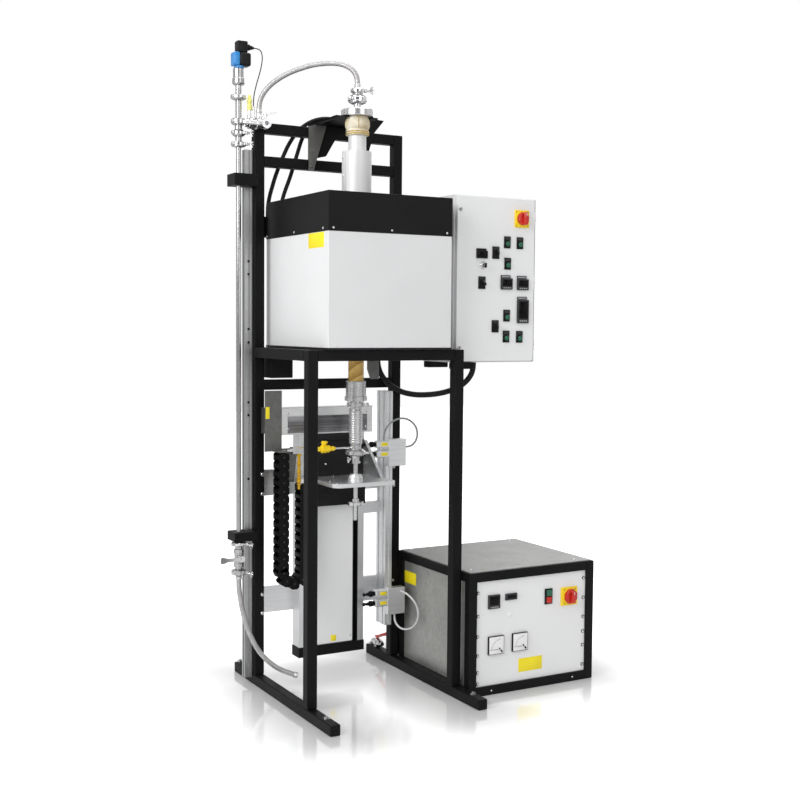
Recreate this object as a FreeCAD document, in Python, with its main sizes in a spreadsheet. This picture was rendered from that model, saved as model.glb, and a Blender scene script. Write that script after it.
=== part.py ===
import FreeCAD, Part
import Sketcher
import math
import os
import re

doc = FreeCAD.newDocument("crystal_growth_furnace")
sheet = doc.addObject("Spreadsheet::Sheet", "sizes")
Vector = FreeCAD.Vector
Rotation = FreeCAD.Rotation

# lengths in millimetres, measured from the left rail's outer face, the rails' front ends and the floor
sizes = {
    "frameLeft": -545, "frameFront": -450,
    "tube": 40, "railLength": 900, "frameWidth": 650, "legY": 190, "backY": 680,
    "tableTop": 1335, "frameTop": 2200, "crossHigh": 2033, "crossLow": 1168, "edgeSoft": 4,
    "furnaceX": 69, "furnaceY": 174, "furnaceWidth": 511, "furnaceDepth": 558,
    "bandLow": 1757, "furnaceTop": 1899, "casingWall": 3, "bandProud": 1.5,
    "axisX": 324, "axisY": 453, "tubeRadius": 30, "tubeBore": 25, "tubeLow": 1209, "tubeHigh": 2214,
    "hotBore": 62, "rodRadius": 9, "rodClearance": 0.05, "rodHigh": 1500, "sealLow": 890, "sealHigh": 946,
    "tableLow": 806, "tableThick": 16, "bearingHigh": 848, "discLow": 727, "rodLow": 668,
    "columnX": 180, "columnWidth": 288, "columnFront": 655, "columnBack": 720, "columnEdge": 27,
    "columnSlot": 24, "beamLow": 276, "beamTop": 746, "columnLow": 133, "columnHigh": 990, "coverHigh": 700, "footLow": 92, "headHigh": 1097,
    "slideGap": 0.5, "chainX": 81, "chainPitch": 92, "linkHigh": 45, "chainY": 580, "chainWide": 59,
    "chainTop": 930, "chainBendZ": 458, "beamThick": 20, "beamHigh": 103,
    "postX": "=frameWidth - 89", "postWide": 30, "postFront": 640, "postLow": 184, "postHigh": 1155,
    "pipeX": -72, "pipeY": 670, "pipeRadius": 9.5, "pipeBore": 7.5, "profileX": -34, "profileY": 700, "profileWide": 30,
    "profileLow": 30, "profileHigh": 2095, "valveZ": 518, "leverReach": 88,
    "cabinetX": "=frameWidth", "cabinetY": 275, "cabinetWidth": 380, "cabinetHigh": 644, "cabinetLow": 1283,
    "cabinetDepth": 232, "cabinetWall": 3, "doorX": "=cabinetX + 5", "doorWidth": 361, "doorThick": 18, "doorGap": 0.3,
    "doorLow": "=cabinetLow + 5", "doorHigh": 634,
    "powerGap": 5, "powerX": "=frameWidth + powerGap", "powerY": 140, "powerWidth": 595, "powerDepth": 555, "powerHigh": 482, "powerTube": 36,
    "panelBack": 10, "panelThick": 3, "meter": 72, "switchPlate": 68, "knobRadius": 27, "pressTravel": 3,
    "hoseRadius": 10, "lowHoseRadius": 10, "cableRadius": 8, "conduitRadius": 12,
}
for row, (word, value) in enumerate(sizes.items(), start=1):
    sheet.set(f"A{row}", word)
    sheet.set(f"B{row}", str(value))
    sheet.setAlias(f"B{row}", word)
working = doc.addObject("Spreadsheet::Sheet", "working")
doc.recompute()
sizes = {word: float(sheet.get(word)) for word in sizes}


def full(text):
    return re.sub(r"[a-zA-Z_]\w*", lambda w: "sizes." + w.group() if w.group() in sizes else w.group(), str(text))


known = {}


def value(text):
    # the number that a sum of sizes comes to, worked out in a spare sheet
    text = str(text)
    if text not in known:
        working.set("A1", "=" + re.sub(r"[a-zA-Z_]\w*", lambda w: str(sizes[w.group()]), text))
        working.recompute()
        known[text] = float(working.get("A1"))
    return known[text]


def bind(item, name, text):
    item.setExpression(name, full(text))


def place(item, x, y, z):
    bind(item, "Placement.Base.x", f"frameLeft + ({x})")
    bind(item, "Placement.Base.y", f"frameFront + ({y})")
    bind(item, "Placement.Base.z", z)
    return item


turns = {
    "z": Rotation(),
    "y": Rotation(Vector(1, 0, 0), -90),
    "x": Rotation(Vector(0, 1, 0), 90),
    "-x": Rotation(Vector(0, 1, 0), -90),
    "-y": Rotation(Vector(1, 0, 0), 90),
    "-z": Rotation(Vector(1, 0, 0), 180),
}


def box(label, x, y, z, dx, dy, dz):
    item = doc.addObject("Part::Box", label)
    bind(item, "Length", dx)
    bind(item, "Width", dy)
    bind(item, "Height", dz)
    return place(item, x, y, z)


def rod(label, axis, x, y, z, radius, length):
    item = doc.addObject("Part::Cylinder", label)
    bind(item, "Radius", radius)
    bind(item, "Height", length)
    item.Placement = FreeCAD.Placement(Vector(), turns[axis])
    return place(item, x, y, z)


def cut(label, base, *tools):
    item = doc.addObject("Part::Cut", label)
    item.Base = base
    item.Tool = tools[0] if len(tools) == 1 else join(label + "_tools", *tools)
    item.Refine = False
    return item


def join(label, *pieces):
    if len(pieces) == 1:
        return pieces[0]
    item = doc.addObject("Part::MultiFuse", label)
    item.Shapes = list(pieces)
    item.Refine = False
    return item


def group(label, *pieces):
    item = doc.addObject("Part::Compound", label)
    item.Links = list(pieces)
    return item


def outline(body, label, plane, points):
    sketch = body.newObject("Sketcher::SketchObject", label)
    ground = [f for f in body.Origin.OriginFeatures if f.Role == plane + "_Plane"][0]
    sketch.AttachmentSupport = [(ground, "")]
    sketch.MapMode = "FlatFace"
    corners = [Vector(value(a), value(b), 0) for a, b in points]
    count = len(corners)
    for i, corner in enumerate(corners):
        sketch.addGeometry(Part.LineSegment(corner, corners[(i + 1) % count]), False)
    for i in range(count):
        sketch.addConstraint(Sketcher.Constraint("Coincident", i, 2, (i + 1) % count, 1))
    for i, (a, b) in enumerate(points):
        for kind, text, axis in (("DistanceX", a, -2), ("DistanceY", b, -1)):
            if abs(value(text)) < 1e-9:
                sketch.addConstraint(Sketcher.Constraint("PointOnObject", i, 1, axis))
                continue
            number = sketch.addConstraint(Sketcher.Constraint(kind, -1, 1, i, 1, value(text)))
            if re.search("[a-zA-Z]", str(text)):
                sketch.setExpression(f"Constraints[{number}]", full(text))
    return sketch


def prism(label, plane, points, depth, x, y, z, soft=None):
    body = doc.addObject("PartDesign::Body", label)
    sketch = outline(body, label + "_outline", plane, points)
    pad = body.newObject("PartDesign::Pad", label + "_pad")
    pad.Profile = sketch
    bind(pad, "Length", depth)
    pad.Reversed = plane == "XZ"
    if soft:
        doc.recompute()
        round_off = body.newObject("PartDesign::Fillet", label + "_edges")
        round_off.Base = (pad, ["Edge1"])
        round_off.UseAllEdges = True
        bind(round_off, "Radius", soft)
    return place(body, x, y, z)


def plank(label, x, y, z, dx, dy, dz, soft="edgeSoft"):
    sides = [("0", "0"), (dx, "0"), (dx, dy), ("0", dy)]
    return prism(label, "XY", sides, dz, x, y, z, soft)


def turned(label, axis, x, y, z, points):
    # points are radius and height, revolved about the height axis
    body = doc.addObject("PartDesign::Body", label)
    sketch = outline(body, label + "_outline", "XZ", points)
    spin = body.newObject("PartDesign::Revolution", label + "_turn")
    spin.Profile = sketch
    spin.ReferenceAxis = (sketch, ["V_Axis"])
    spin.Angle = 360
    body.Placement = FreeCAD.Placement(Vector(), turns[axis])
    return place(body, x, y, z)


def stack(bore, steps):
    # steps are radius, low height and high height, from the bottom up
    points = []
    for radius, low, high in steps:
        points += [(radius, low), (radius, high)]
    clean = [p for i, p in enumerate(points) if i == 0 or p != points[i - 1]]
    return [(bore, steps[0][1])] + clean + [(bore, steps[-1][2])]


def cord(label, points, radius):
    stops = [Vector(a + sizes["frameLeft"], b + sizes["frameFront"], c) for a, b, c in points]
    runs = [(q - p).Length for p, q in zip(stops, stops[1:])]
    edges = []
    here = stops[0]
    least = 1e9
    for i in range(1, len(stops) - 1):
        before = (stops[i] - stops[i - 1]).normalize()
        after = (stops[i + 1] - stops[i]).normalize()
        half = before.getAngle(after) / 2
        reach = 0.45 * min(runs[i - 1], runs[i])
        bend = reach / math.tan(half)
        least = min(least, bend)
        start = stops[i] - before * reach
        end = stops[i] + after * reach
        inward = (after - before).normalize()
        middle = stops[i] + inward * (bend / math.cos(half) - bend)
        edges += [Part.makeLine(here, start), Part.Arc(start, middle, end).toShape()]
        here = end
    edges.append(Part.makeLine(here, stops[-1]))
    path = Part.Wire(edges)
    first = (stops[1] - stops[0]).normalize()
    ring = Part.Wire(Part.makeCircle(radius, stops[0], first))
    item = doc.addObject("Part::Feature", label)
    item.Shape = path.makePipeShell([ring], True, True)
    wanted = math.pi * radius ** 2 * path.Length
    print(label, "least radius", round(least, 1), "length", round(path.Length), "volume share",
          round(item.Shape.Volume / wanted, 4), "longest run", round(max(runs)), "diameter", 2 * radius)
    return item


def base_frame():
    right = "frameWidth - tube"
    inner = "frameWidth - 2 * tube"
    low = "tableTop - tube"
    side = "backY - legY - tube"
    group("frame_tubes",
          plank("rail_left", 0, 0, 0, "tube", "railLength", "tube"),
          plank("rail_right", right, 0, 0, "tube", "railLength", "tube"),
          plank("leg_left", 0, "legY", "tube", "tube", "tube", "tableTop - tube"),
          plank("leg_right", right, "legY", "tube", "tube", "tube", "tableTop - tube"),
          plank("upright_left", 0, "backY", "tube", "tube", "tube", "frameTop - tube"),
          plank("upright_right", right, "backY", "tube", "tube", "tube", "frameTop - tube"),
          plank("table_front", "tube", "legY", low, inner, "tube", "tube"),
          plank("table_back", "tube", "backY", low, inner, "tube", "tube"),
          plank("table_left", 0, "legY + tube", low, "tube", side, "tube"),
          plank("table_right", right, "legY + tube", low, "tube", side, "tube"),
          plank("cross_top", "tube", "backY", "frameTop - tube", inner, "tube", "tube"),
          plank("cross_high", "tube", "backY", "crossHigh", inner, "tube", "tube"),
          plank("cross_low", "tube", "backY", "crossLow", inner, "tube", "tube"),
          plank("arm_front", "frameWidth", 262, "cabinetLow - 25", 92, "tube", 25),
          plank("arm_back", "frameWidth", 455, "cabinetLow - 25", 92, "tube", 25))


def small_bolt(label, axis, x, y, z, radius=7, high=5):
    return turned(label, axis, x, y, z, [("0", "0"), (radius, "0"), (radius, high * 0.6),
                                         (radius * 0.7, high), ("0", high)])


def bolts():
    heads = []
    for i, x in enumerate((31, "frameWidth - 31")):
        for j, z in enumerate(("beamLow + 10", "beamLow + 84", "beamTop + 14", "beamTop + 91")):
            heads.append(small_bolt(f"head_{i}_{j}", "-y", x, "backY", z))
    for i, x in enumerate(("tube / 2", "frameWidth - tube / 2")):
        for j, y in enumerate((70, "railLength - 16")):
            heads.append(turned(f"level_{i}_{j}", "z", x, y, "tube",
                                 [("0", "0"), (11, "0"), (11, 7), (5, 7), (5, 12), ("0", 12)]))
    group("fasteners", *heads)


def furnace():
    wall = "casingWall"
    shell = plank("casing_outer", "furnaceX", "furnaceY", "tableTop", "furnaceWidth", "furnaceDepth",
                  "bandLow - tableTop", 2.5)
    inside = box("casing_inner", f"furnaceX + {wall}", f"furnaceY + {wall}", f"tableTop + {wall}",
                 f"furnaceWidth - 2 * {wall}", f"furnaceDepth - 2 * {wall}", "bandLow - tableTop")
    hole = rod("casing_hole", "z", "axisX", "axisY", "tableTop - 5", 40, 20)
    cut("furnace_casing", shell, inside, hole)
    band = plank("band_outer", "furnaceX - bandProud", "furnaceY - bandProud", "bandLow",
                 "furnaceWidth + 2 * bandProud", "furnaceDepth + 2 * bandProud", "furnaceTop - bandLow", 2.5)
    hollow = box("band_inner", f"furnaceX + {wall}", f"furnaceY + {wall}", "bandLow - 5",
                 f"furnaceWidth - 2 * {wall}", f"furnaceDepth - 2 * {wall}", f"furnaceTop - bandLow + 5 - {wall}")
    hole = rod("band_hole", "z", "axisX", "axisY", "furnaceTop - 20", "tubeRadius", 30)
    cut("furnace_band", band, hollow, hole)
    fill = box("fill_block", f"furnaceX + {wall}", f"furnaceY + {wall}", f"tableTop + {wall}",
               f"furnaceWidth - 2 * {wall}", f"furnaceDepth - 2 * {wall}",
               f"furnaceTop - tableTop - 2 * {wall}")
    hot = rod("fill_hot", "z", "axisX", "axisY", "tableTop + 60", "hotBore", "furnaceTop - tableTop - 120")
    way = rod("fill_way", "z", "axisX", "axisY", "tableTop - 10", "tubeRadius", "furnaceTop - tableTop + 20")
    cut("insulation", fill, hot, way)
    bars = []
    for i in range(6):
        turn = math.radians(30 + 60 * i)
        bars.append(rod(f"element_{i}", "z", f"axisX + {52 * math.cos(turn):.3f}",
                        f"axisY + {52 * math.sin(turn):.3f}", "tableTop + 60", 4,
                        "furnaceTop - tableTop - 120"))
    group("heating_elements", *bars)


def process_tube():
    turned("growth_tube", "z", "axisX", "axisY", 0,
           stack("tubeBore", [("tubeRadius", "tubeLow", "tubeHigh")]))
    turned("tube_jacket", "z", "axisX", "axisY", 0,
           stack("tubeRadius", [(55, "furnaceTop", 2082), (34, 2082, 2142)]))
    turned("neck_wrap", "z", "axisX", "axisY", 0,
           [("tubeRadius", 2142), (42, 2142), (45, 2146), (42, 2151), (45, 2156), (42, 2161), (40, 2163),
            (46, 2172), (47, 2186), (46, 2198), (41, "tubeHigh"), ("tubeRadius", "tubeHigh")])
    turned("tube_head", "z", "axisX", "axisY", 0,
           [(9, "tubeHigh"), (61, "tubeHigh"), (62, "tubeHigh + 2"), (62, 2237), (60, 2240), (20, 2240),
            (20, 2243), (14, 2243), (14, 2263), (24, 2263), (33, 2268), (33, 2274), (27, 2279), (33, 2284),
            (33, 2290), (24, 2296), (13, 2296), (13, 2301), (20, 2302), (23, 2306), (23, 2317), (20, 2321),
            (12, 2322), (9, 2322)])
    seal = "rodRadius + rodClearance"
    turned("lower_seal", "z", "axisX", "axisY", 0,
           [(seal, "sealLow"), (15, "sealLow"), (15, 912), (18, 918), (30, 920), (36, 925), (36, 929),
            (31, 932), (36, 935), (36, 940), (30, "sealHigh"), (22, "sealHigh"), (22, 962), (26, 968), (26, 1094), (23, 1101), (23, 1112),
            (29, 1114), (29, 1122), (23, 1124), (23, 1132), (43, 1134), (43, 1149), (39, 1151), (39, 1206),
            (37, "tubeLow"), (20, "tubeLow"), (20, 925), (seal, 925)])


def head_brackets():
    ears = [("0", 31), ("0", 169), (87, 204), (162, 222), (337, 212), (293, 160), (267, 80), (255, 78),
            (247, 130), (122, 125), (77, 50)]
    back = prism("bracket_back", "XZ", ears, 4, 223, "backY - 4", 2040)
    gusset = prism("gusset_sheet", "XZ", [("0", 171), (83, 198), (22, "0"), ("0", "0")], 3, 223,
                   "backY - 7", 2030)
    shelf = box("shelf_plate", 255, 405, "tubeHigh - 6", 146, "backY - 4 - 405", 6)
    ring = rod("shelf_hole", "z", "axisX", "axisY", "tubeHigh - 20", 48, 40)
    mouth = box("shelf_mouth", 255, 395, "tubeHigh - 20", 146, "axisY - 395 - 20", 40)
    cut("head_shelf", shelf, ring, mouth, gusset)
    group("head_gusset", gusset, small_bolt("gusset_bolt", "-y", 233, "backY - 7", 2046, 6, 4))
    plank("head_junction", 345, "backY", "frameTop", 46, 44, 58, 2)
    plank("back_junction", 56, "furnaceY + furnaceDepth + bandProud", 1766, 104, 42, 80, 2)
    return back


def drive():
    edge = "columnEdge"
    slot = "columnEdge + columnSlot"
    wide = "columnWidth"
    deep = "columnBack - columnFront"
    points = [("0", "0"), (edge, "0"), (edge, 35), (slot, 35), (slot, 6), (f"{wide} - ({slot})", 6),
              (f"{wide} - ({slot})", 35), (f"{wide} - {edge}", 35), (f"{wide} - {edge}", "0"), (wide, "0"),
              (wide, deep), ("0", deep)]
    prism("drive_column", "XY", points, "columnHigh - columnLow", "columnX", "columnFront", "columnLow")
    box("drive_cover", f"columnX + {slot}", "columnFront", "columnLow + 4", f"{wide} - 2 * ({slot})", 6,
        "coverHigh - columnLow - 4")
    plank("drive_foot", "columnX - 3", "columnFront - 3", "footLow", f"{wide} + 6", f"{deep} + 3",
          "columnLow - footLow", 2)
    plank("drive_head", 101, "columnFront + 1", "columnHigh", 404, f"{deep} - 1", "headHigh - columnHigh", 2)
    group("cross_beams",
          plank("beam_low", 5, "columnBack", "beamLow", "frameWidth - 10", "beamThick", "beamHigh", 1),
          plank("beam_high", 5, "columnBack", "beamTop", "frameWidth - 10", "beamThick", "beamHigh", 1),
          plank("beam_link", "columnX + columnWidth", 690, 650, "postX - columnX - columnWidth", 25, 46, 1))
    groove = [("0", "0"), (11, "0"), (11, 5), (19, 5), (19, "0"), ("postWide", "0"), ("postWide", 16),
              (25, 16), (25, 24), ("postWide", 24), ("postWide", 56), (25, 56), (25, 64), ("postWide", 64),
              ("postWide", "columnBack - postFront"), (19, "columnBack - postFront"), (19, 75), (11, 75),
              (11, "columnBack - postFront"), ("0", "columnBack - postFront"), ("0", 64), (5, 64), (5, 56),
              ("0", 56), ("0", 24), (5, 24), (5, 16), ("0", 16)]
    prism("rear_post", "XY", groove, "postHigh - postLow", "postX", "postFront", "postLow")


def carriage():
    back = "columnFront - slideGap"
    block = plank("slide_block", 255, 633, "coverHigh + 2", 206, f"{back} - 633", 258, 2)
    guides = [box(f"slide_guide_{x}", x, 640, "coverHigh + 10", 14, 45, 240) for x in (212, 422)]
    wings = [box(f"slide_wing_{x}", x, 633, "coverHigh + 10", 45, f"{back} - 633", 240) for x in (212, 415)]
    top = "tableLow + tableThick"
    plate = [("0", 24), (8, 8), (24, "0"), (252, "0"), (264, 12), (264, 248), (-54 + 54, 248)]
    table = prism("table_plate", "XY", plate, "tableThick", 204, 385, "tableLow", 1.5)
    wing = box("chain_seat", 150, 583, "tableLow", 60, 50, "tableThick")
    web = prism("table_web", "YZ", [("0", "0"), (152, "0"), (152, 138), (143, 138)], 12, 452, 481, top)
    under = box("table_rib", 420, 560, "tableLow - 26", 44, 73, 26)
    bearing = turned("bearing", "z", "axisX", "axisY", 0,
                     [(9 + 2, "tableLow - 6"), (26, "tableLow - 6"), (26, top), (29, top), (29, 836),
                      (22, "bearingHigh"), ("rodRadius + rodClearance", "bearingHigh"),
                      ("rodRadius + rodClearance", "tableLow + 2"), (11, "tableLow + 2")])
    hole = rod("table_hole", "z", "axisX", "axisY", 780, 26, 60)
    solid = join("carriage_solid", block, *guides, *wings, cut("table_bored", table, hole), wing, web, under,
                 bearing)
    group("carriage", solid)
    turned("growth_rod", "z", "axisX", "axisY", 0,
           [("0", "rodLow"), (6, "rodLow"), (8, "rodLow + 4"), (8, "discLow"), (30, "discLow"),
            (32, "discLow + 2"), (32, 741), (30, 743), (14, 743), (14, 752), ("rodRadius", 754),
            ("rodRadius", "rodHigh - 10"), (18, "rodHigh - 10"), (18, "rodHigh"), ("0", "rodHigh")])


def chain():
    half = "linkHigh / 2"
    fixed = f"chainX - {half}"
    moving = f"chainX + chainPitch - {half}"
    plank("chain_fixed", fixed, "chainY", "chainBendZ", "linkHigh", "chainWide", "chainTop - chainBendZ", 3)
    plank("chain_moving", moving, "chainY", "chainBendZ", "linkHigh", "chainWide", "tableLow - chainBendZ", 3)
    outer = rod("bend_outer", "y", "chainX + chainPitch / 2", "chainY", "chainBendZ",
                f"chainPitch / 2 + {half}", "chainWide")
    inner = rod("bend_inner", "y", "chainX + chainPitch / 2", "chainY - 5", "chainBendZ",
                f"chainPitch / 2 - {half}", "chainWide + 10")
    above = box("bend_above", -20, "chainY - 10", "chainBendZ", 300, "chainWide + 20", 120)
    cut("chain_bend", outer, inner, above)


def vacuum_column():
    deep = 30
    points = [("0", "0"), (11, "0"), (11, 5), (19, 5), (19, "0"), ("profileWide", "0"), ("profileWide", deep),
              (19, deep), (19, 25), (11, 25), (11, deep), ("0", deep), ("0", 19), (5, 19), (5, 11), ("0", 11)]
    prism("column_profile", "XY", points, "profileHigh - profileLow", "profileX", "profileY", "profileLow")
    turned("long_pipe", "z", "pipeX", "pipeY", 0,
           [("pipeBore", 563), (16, 563), (20, 567), (27, 568), (27, 578), (20, 580), (14, 583),
            ("pipeRadius", 584), ("pipeRadius", 2094), (20, 2097), (27, 2099), (27, 2114), (20, 2116),
            (12, 2119), (12, 2134), (20, 2138), (23, 2142), (23, 2156), (18, 2161), (14, 2163), (14, 2177),
            (22, 2180), (28, 2184), (28, 2200), (22, 2204), (11, 2206), (11, 2270), (22, 2274), (29, 2278),
            (29, 2290), (22, 2293), (12, 2296), (12, 2327), ("pipeBore", 2327)])
    clamps = []
    for name, low, high in (("low", 584, 619), ("high", 1951, 1997)):
        block = plank(f"clamp_{name}", -98, "pipeY - 26", low, 98, 80, f"{high} - {low}", 2)
        pipe = rod(f"clamp_{name}_pipe", "z", "pipeX", "pipeY", low - 5, "pipeRadius", high - low + 10)
        post = box(f"clamp_{name}_post", "profileX", "profileY", low - 5, "profileWide", deep,
                   high - low + 10)
        clamps.append(cut(f"clamp_{name}_cut", block, pipe, post))
    group("column_clamps", *clamps)
    arm_y = "pipeY - 16"
    arm = turned("port_arm", "x", -60, arm_y, 2188,
                 [("0", "0"), (14, "0"), (17, 3), (17, 20), (22, 22), (22, 32), (17, 34), (17, 50), (23, 52),
                  (23, 64), (18, 68), (18, 90), (15, 102), ("0", 102)])
    port = turned("port_ring", "-y", 22, arm_y, 2188, [("0", "0"), (12, "0"), (12, 24), (19, 30), (19, 36),
                                                      ("0", 36)])
    hole = rod("port_hole", "-y", 22, f"{arm_y} + 4", 2188, 8, 60)
    spout = turned("hose_socket", "z", 5, arm_y, 2196,
                   [("0", "0"), (13, "0"), (13, 20), (10, 24), (10, 32), ("0", 32)])
    stem = turned("purge_stem", "z", -34, arm_y, 2196,
                  [("0", "0"), (8, "0"), (8, 20), (6, 24), (6, 40), ("0", 40)])
    stub = rod("signal_stub", "z", -18, arm_y, 2196, 5, 56)
    post = rod("lever_post", "z", 32, arm_y, 2196, 5, 26)
    end = rod("pipe_space", "z", "pipeX", "pipeY", 2150, 28, 80)
    cut("cross_body", join("cross_join", arm, port, spout, stem, stub, post), hole, end)
    turned("purge_cap", "z", -34, arm_y, 2236,
           [("0", "0"), (7, "0"), (7, 16), (5, 20), (6, 26), (6, 46), (4, 56), ("0", 57)])
    lever = prism("port_lever_bar", "XZ", [("0", "0"), (8, "0"), (44, 12), (46, 18), (42, 20), ("0", 6)], 6, 32,
                  f"{arm_y} - 3", 2222.3)
    hub = rod("port_lever_hub", "z", 32, arm_y, 2222.3, 8, 7)
    join("port_lever", lever, hub)
    group("valve_cross", doc.cross_body, doc.purge_cap)
    turned("gauge_sensor", "z", "pipeX", "pipeY", 0,
           [("0", 2327), (12, 2327), (20, 2330), (24, 2335), (24, 2352), (21, 2356), (21, 2389), (19, 2391),
            ("0", 2391)])
    group("gauge_cap",
          turned("cap_neck", "z", "pipeX + 2", "pipeY", 2391, [("0", "0"), (19, "0"), (21, 9), ("0", 9)]),
          plank("cap_block", "pipeX - 24", "pipeY - 22", 2400, 22, 44, 50, 2))
    head = plank("head_block", "pipeX - 2", "pipeY - 23", 2400, 46, 46, 51, 4)
    plug = plank("plug_block", "pipeX - 10", "pipeY - 18", 2451, 42, 36, 44, 4)
    boot = turned("plug_boot", "x", "pipeX + 32", "pipeY", 2474,
                  [("0", "0"), (11, "0"), (10, 14), (6, 26), (4, 30), ("0", 30)])
    group("gauge_head", doc.gauge_cap, join("plug_join", head, plug, boot))


def ball_valve():
    turned("ball_body", "z", "pipeX", "pipeY", 0,
           [("pipeBore", 449), (16, 449), (22, 452), (29, 454), (29, 470), (22, 473), (14, 476), (14, 482),
            (20, 484), (20, 498), (17, 500), (17, 536), (20, 538), (20, 552), (14, 554), (14, 563),
            ("pipeBore", 563)])
    hub = turned("lever_hub", "-y", "pipeX", "pipeY - 17.3", "valveZ",
                 [("0", "0"), (10, "0"), (10, 12), (12, 12), (12, 20), (5, 20), (5, 24), ("0", 24)])
    flat = prism("lever_flat", "XZ", [("0", 4), ("0", 22), (4, 26), (20, 24), (28, 20), ("leverReach", 20),
                                      ("leverReach", 6), (28, 6), (20, 2), (4, "0")], 4,
                 "pipeX - leverReach", "pipeY - 37", "valveZ - 13", 1)
    join("valve_handle", hub, flat)
    group("vacuum_pipe", doc.long_pipe, doc.ball_body, doc.gauge_sensor)


def services():
    yellow = turned("gas_body", "x", 166, "axisY", "sealLow + 62",
                    [("0", "0"), (9, "0"), (9, 10), (14, 14), (14, 44), (9, 48), (9, 62), (6, 70), ("0", 70)])
    knob = turned("gas_knob", "z", 192, "axisY", "sealLow + 72", [("0", "0"), (5, "0"), (5, 10), (11, 12), (11, 19),
                                                      ("0", 19)])
    join("gas_body_join", yellow, knob)
    rod("gas_pipe", "x", 236, "axisY", "sealLow + 62", 4, 66)
    sheet_left = box("sheet_left", 25, 640, "chainTop", 71, 3, 237)
    spacer = box("sheet_spacer", 26, 643, 1000, 14, "backY - 643", 100)
    taper = prism("sheet_taper", "XZ", [(-9, 134), (69, 134), (54, "0"), (16, "0")], 3, 95, 640,
                  "chainTop - 124")
    seat = box("chain_anchor", 56, 580, "chainTop", 50, 60, 6)
    motor = plank("service_box", 50, 640, "tableTop - tube - 79", 93, 80, 79, 3)
    flap = prism("side_flap", "XZ", [(14, "0"), (52, "0"), (52, 122), ("0", 122), ("0", 40)], 3, 398, 500,
                 "tableTop - 122")
    join("sheet_join", sheet_left, spacer, taper, seat)
    fit = [box("fitting_block", 106, 556, "sealLow + 36", 54, 30, 26)]
    fit.append(turned("fitting_left", "-x", 106, 570, "sealLow + 49", [("0", "0"), (8, "0"), (8, 9), (5, 9), (5, 20),
                                                           ("0", 20)]))
    join("fitting_join", *fit)
    turned("brass_line", "-z", 137, 568, "sealLow + 36",
           [("0", "0"), (9, "0"), (9, 10), (6, 12), (6, 34), (8, 36), (8, 42), (6, 44), (6, 66), (8, 68),
            (8, 74), (6, 76), (6, 98), (9, 100), (9, 112), (5, 114), (5, 140), ("0", 140)])
    for name, base in (("upper", 850), ("lower", 236)):
        block = plank(f"{name}_base", "postX - 6", 604, base, 80, 36, 110, 2)
        lids = [plank(f"{name}_coil_{k}", "postX - 61", 606, base + 36 + 40 * k, 58, 30, 30, 5) for k in (0, 1)]
        tips = [turned(f"{name}_tip_{k}", "-x", "postX - 61", 621, base + 51 + 40 * k,
                       [("0", "0"), (9, "0"), (9, 8), (12, 10), (12, 22), (7, 24), (7, 34), ("0", 34)])
                for k in (0, 1)]
        group(f"{name}_tips", *tips)
    group("valve_blocks", doc.upper_base, doc.lower_base, doc.upper_coil_0, doc.upper_coil_1,
          doc.lower_coil_0, doc.lower_coil_1)
    group("gas_valve", doc.gas_body_join, doc.brass_line)
    group("drive_beams", doc.cross_beams, doc.drive_head, doc.rear_post, doc.column_profile)
    turned("water_body", "y", "frameWidth - tube / 2", "railLength - 112", 60,
           [("0", "0"), (9, "0"), (9, 12), (14, 14), (14, 28), (18, 32), (18, 52), (14, 56), (14, 70), (9, 72),
            (9, 84), ("0", 84)])
    hub = rod("water_hub", "z", "frameWidth - tube / 2", "railLength - 70", 78.3, 6, 12)
    bar = prism("water_bar", "YZ", [("0", "0"), (24, "0"), (40, 8), (110, 34), (110, 41), (38, 15), (22, 6),
                                    ("0", 6)], 18, 621, 727, 82)
    bar.Placement = FreeCAD.Placement(Vector(), Rotation(Vector(0, 0, 1), 180))
    place(bar, "frameWidth - 11", "railLength - 61", 84)
    join("water_lever", hub, bar)
    stand = box("water_stand", "frameWidth - 32", "railLength - 78", "tube", 24, 16, 12)
    group("steel_fittings", doc.fitting_join, doc.gas_pipe, join("water_join", doc.water_body, stand))


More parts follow.
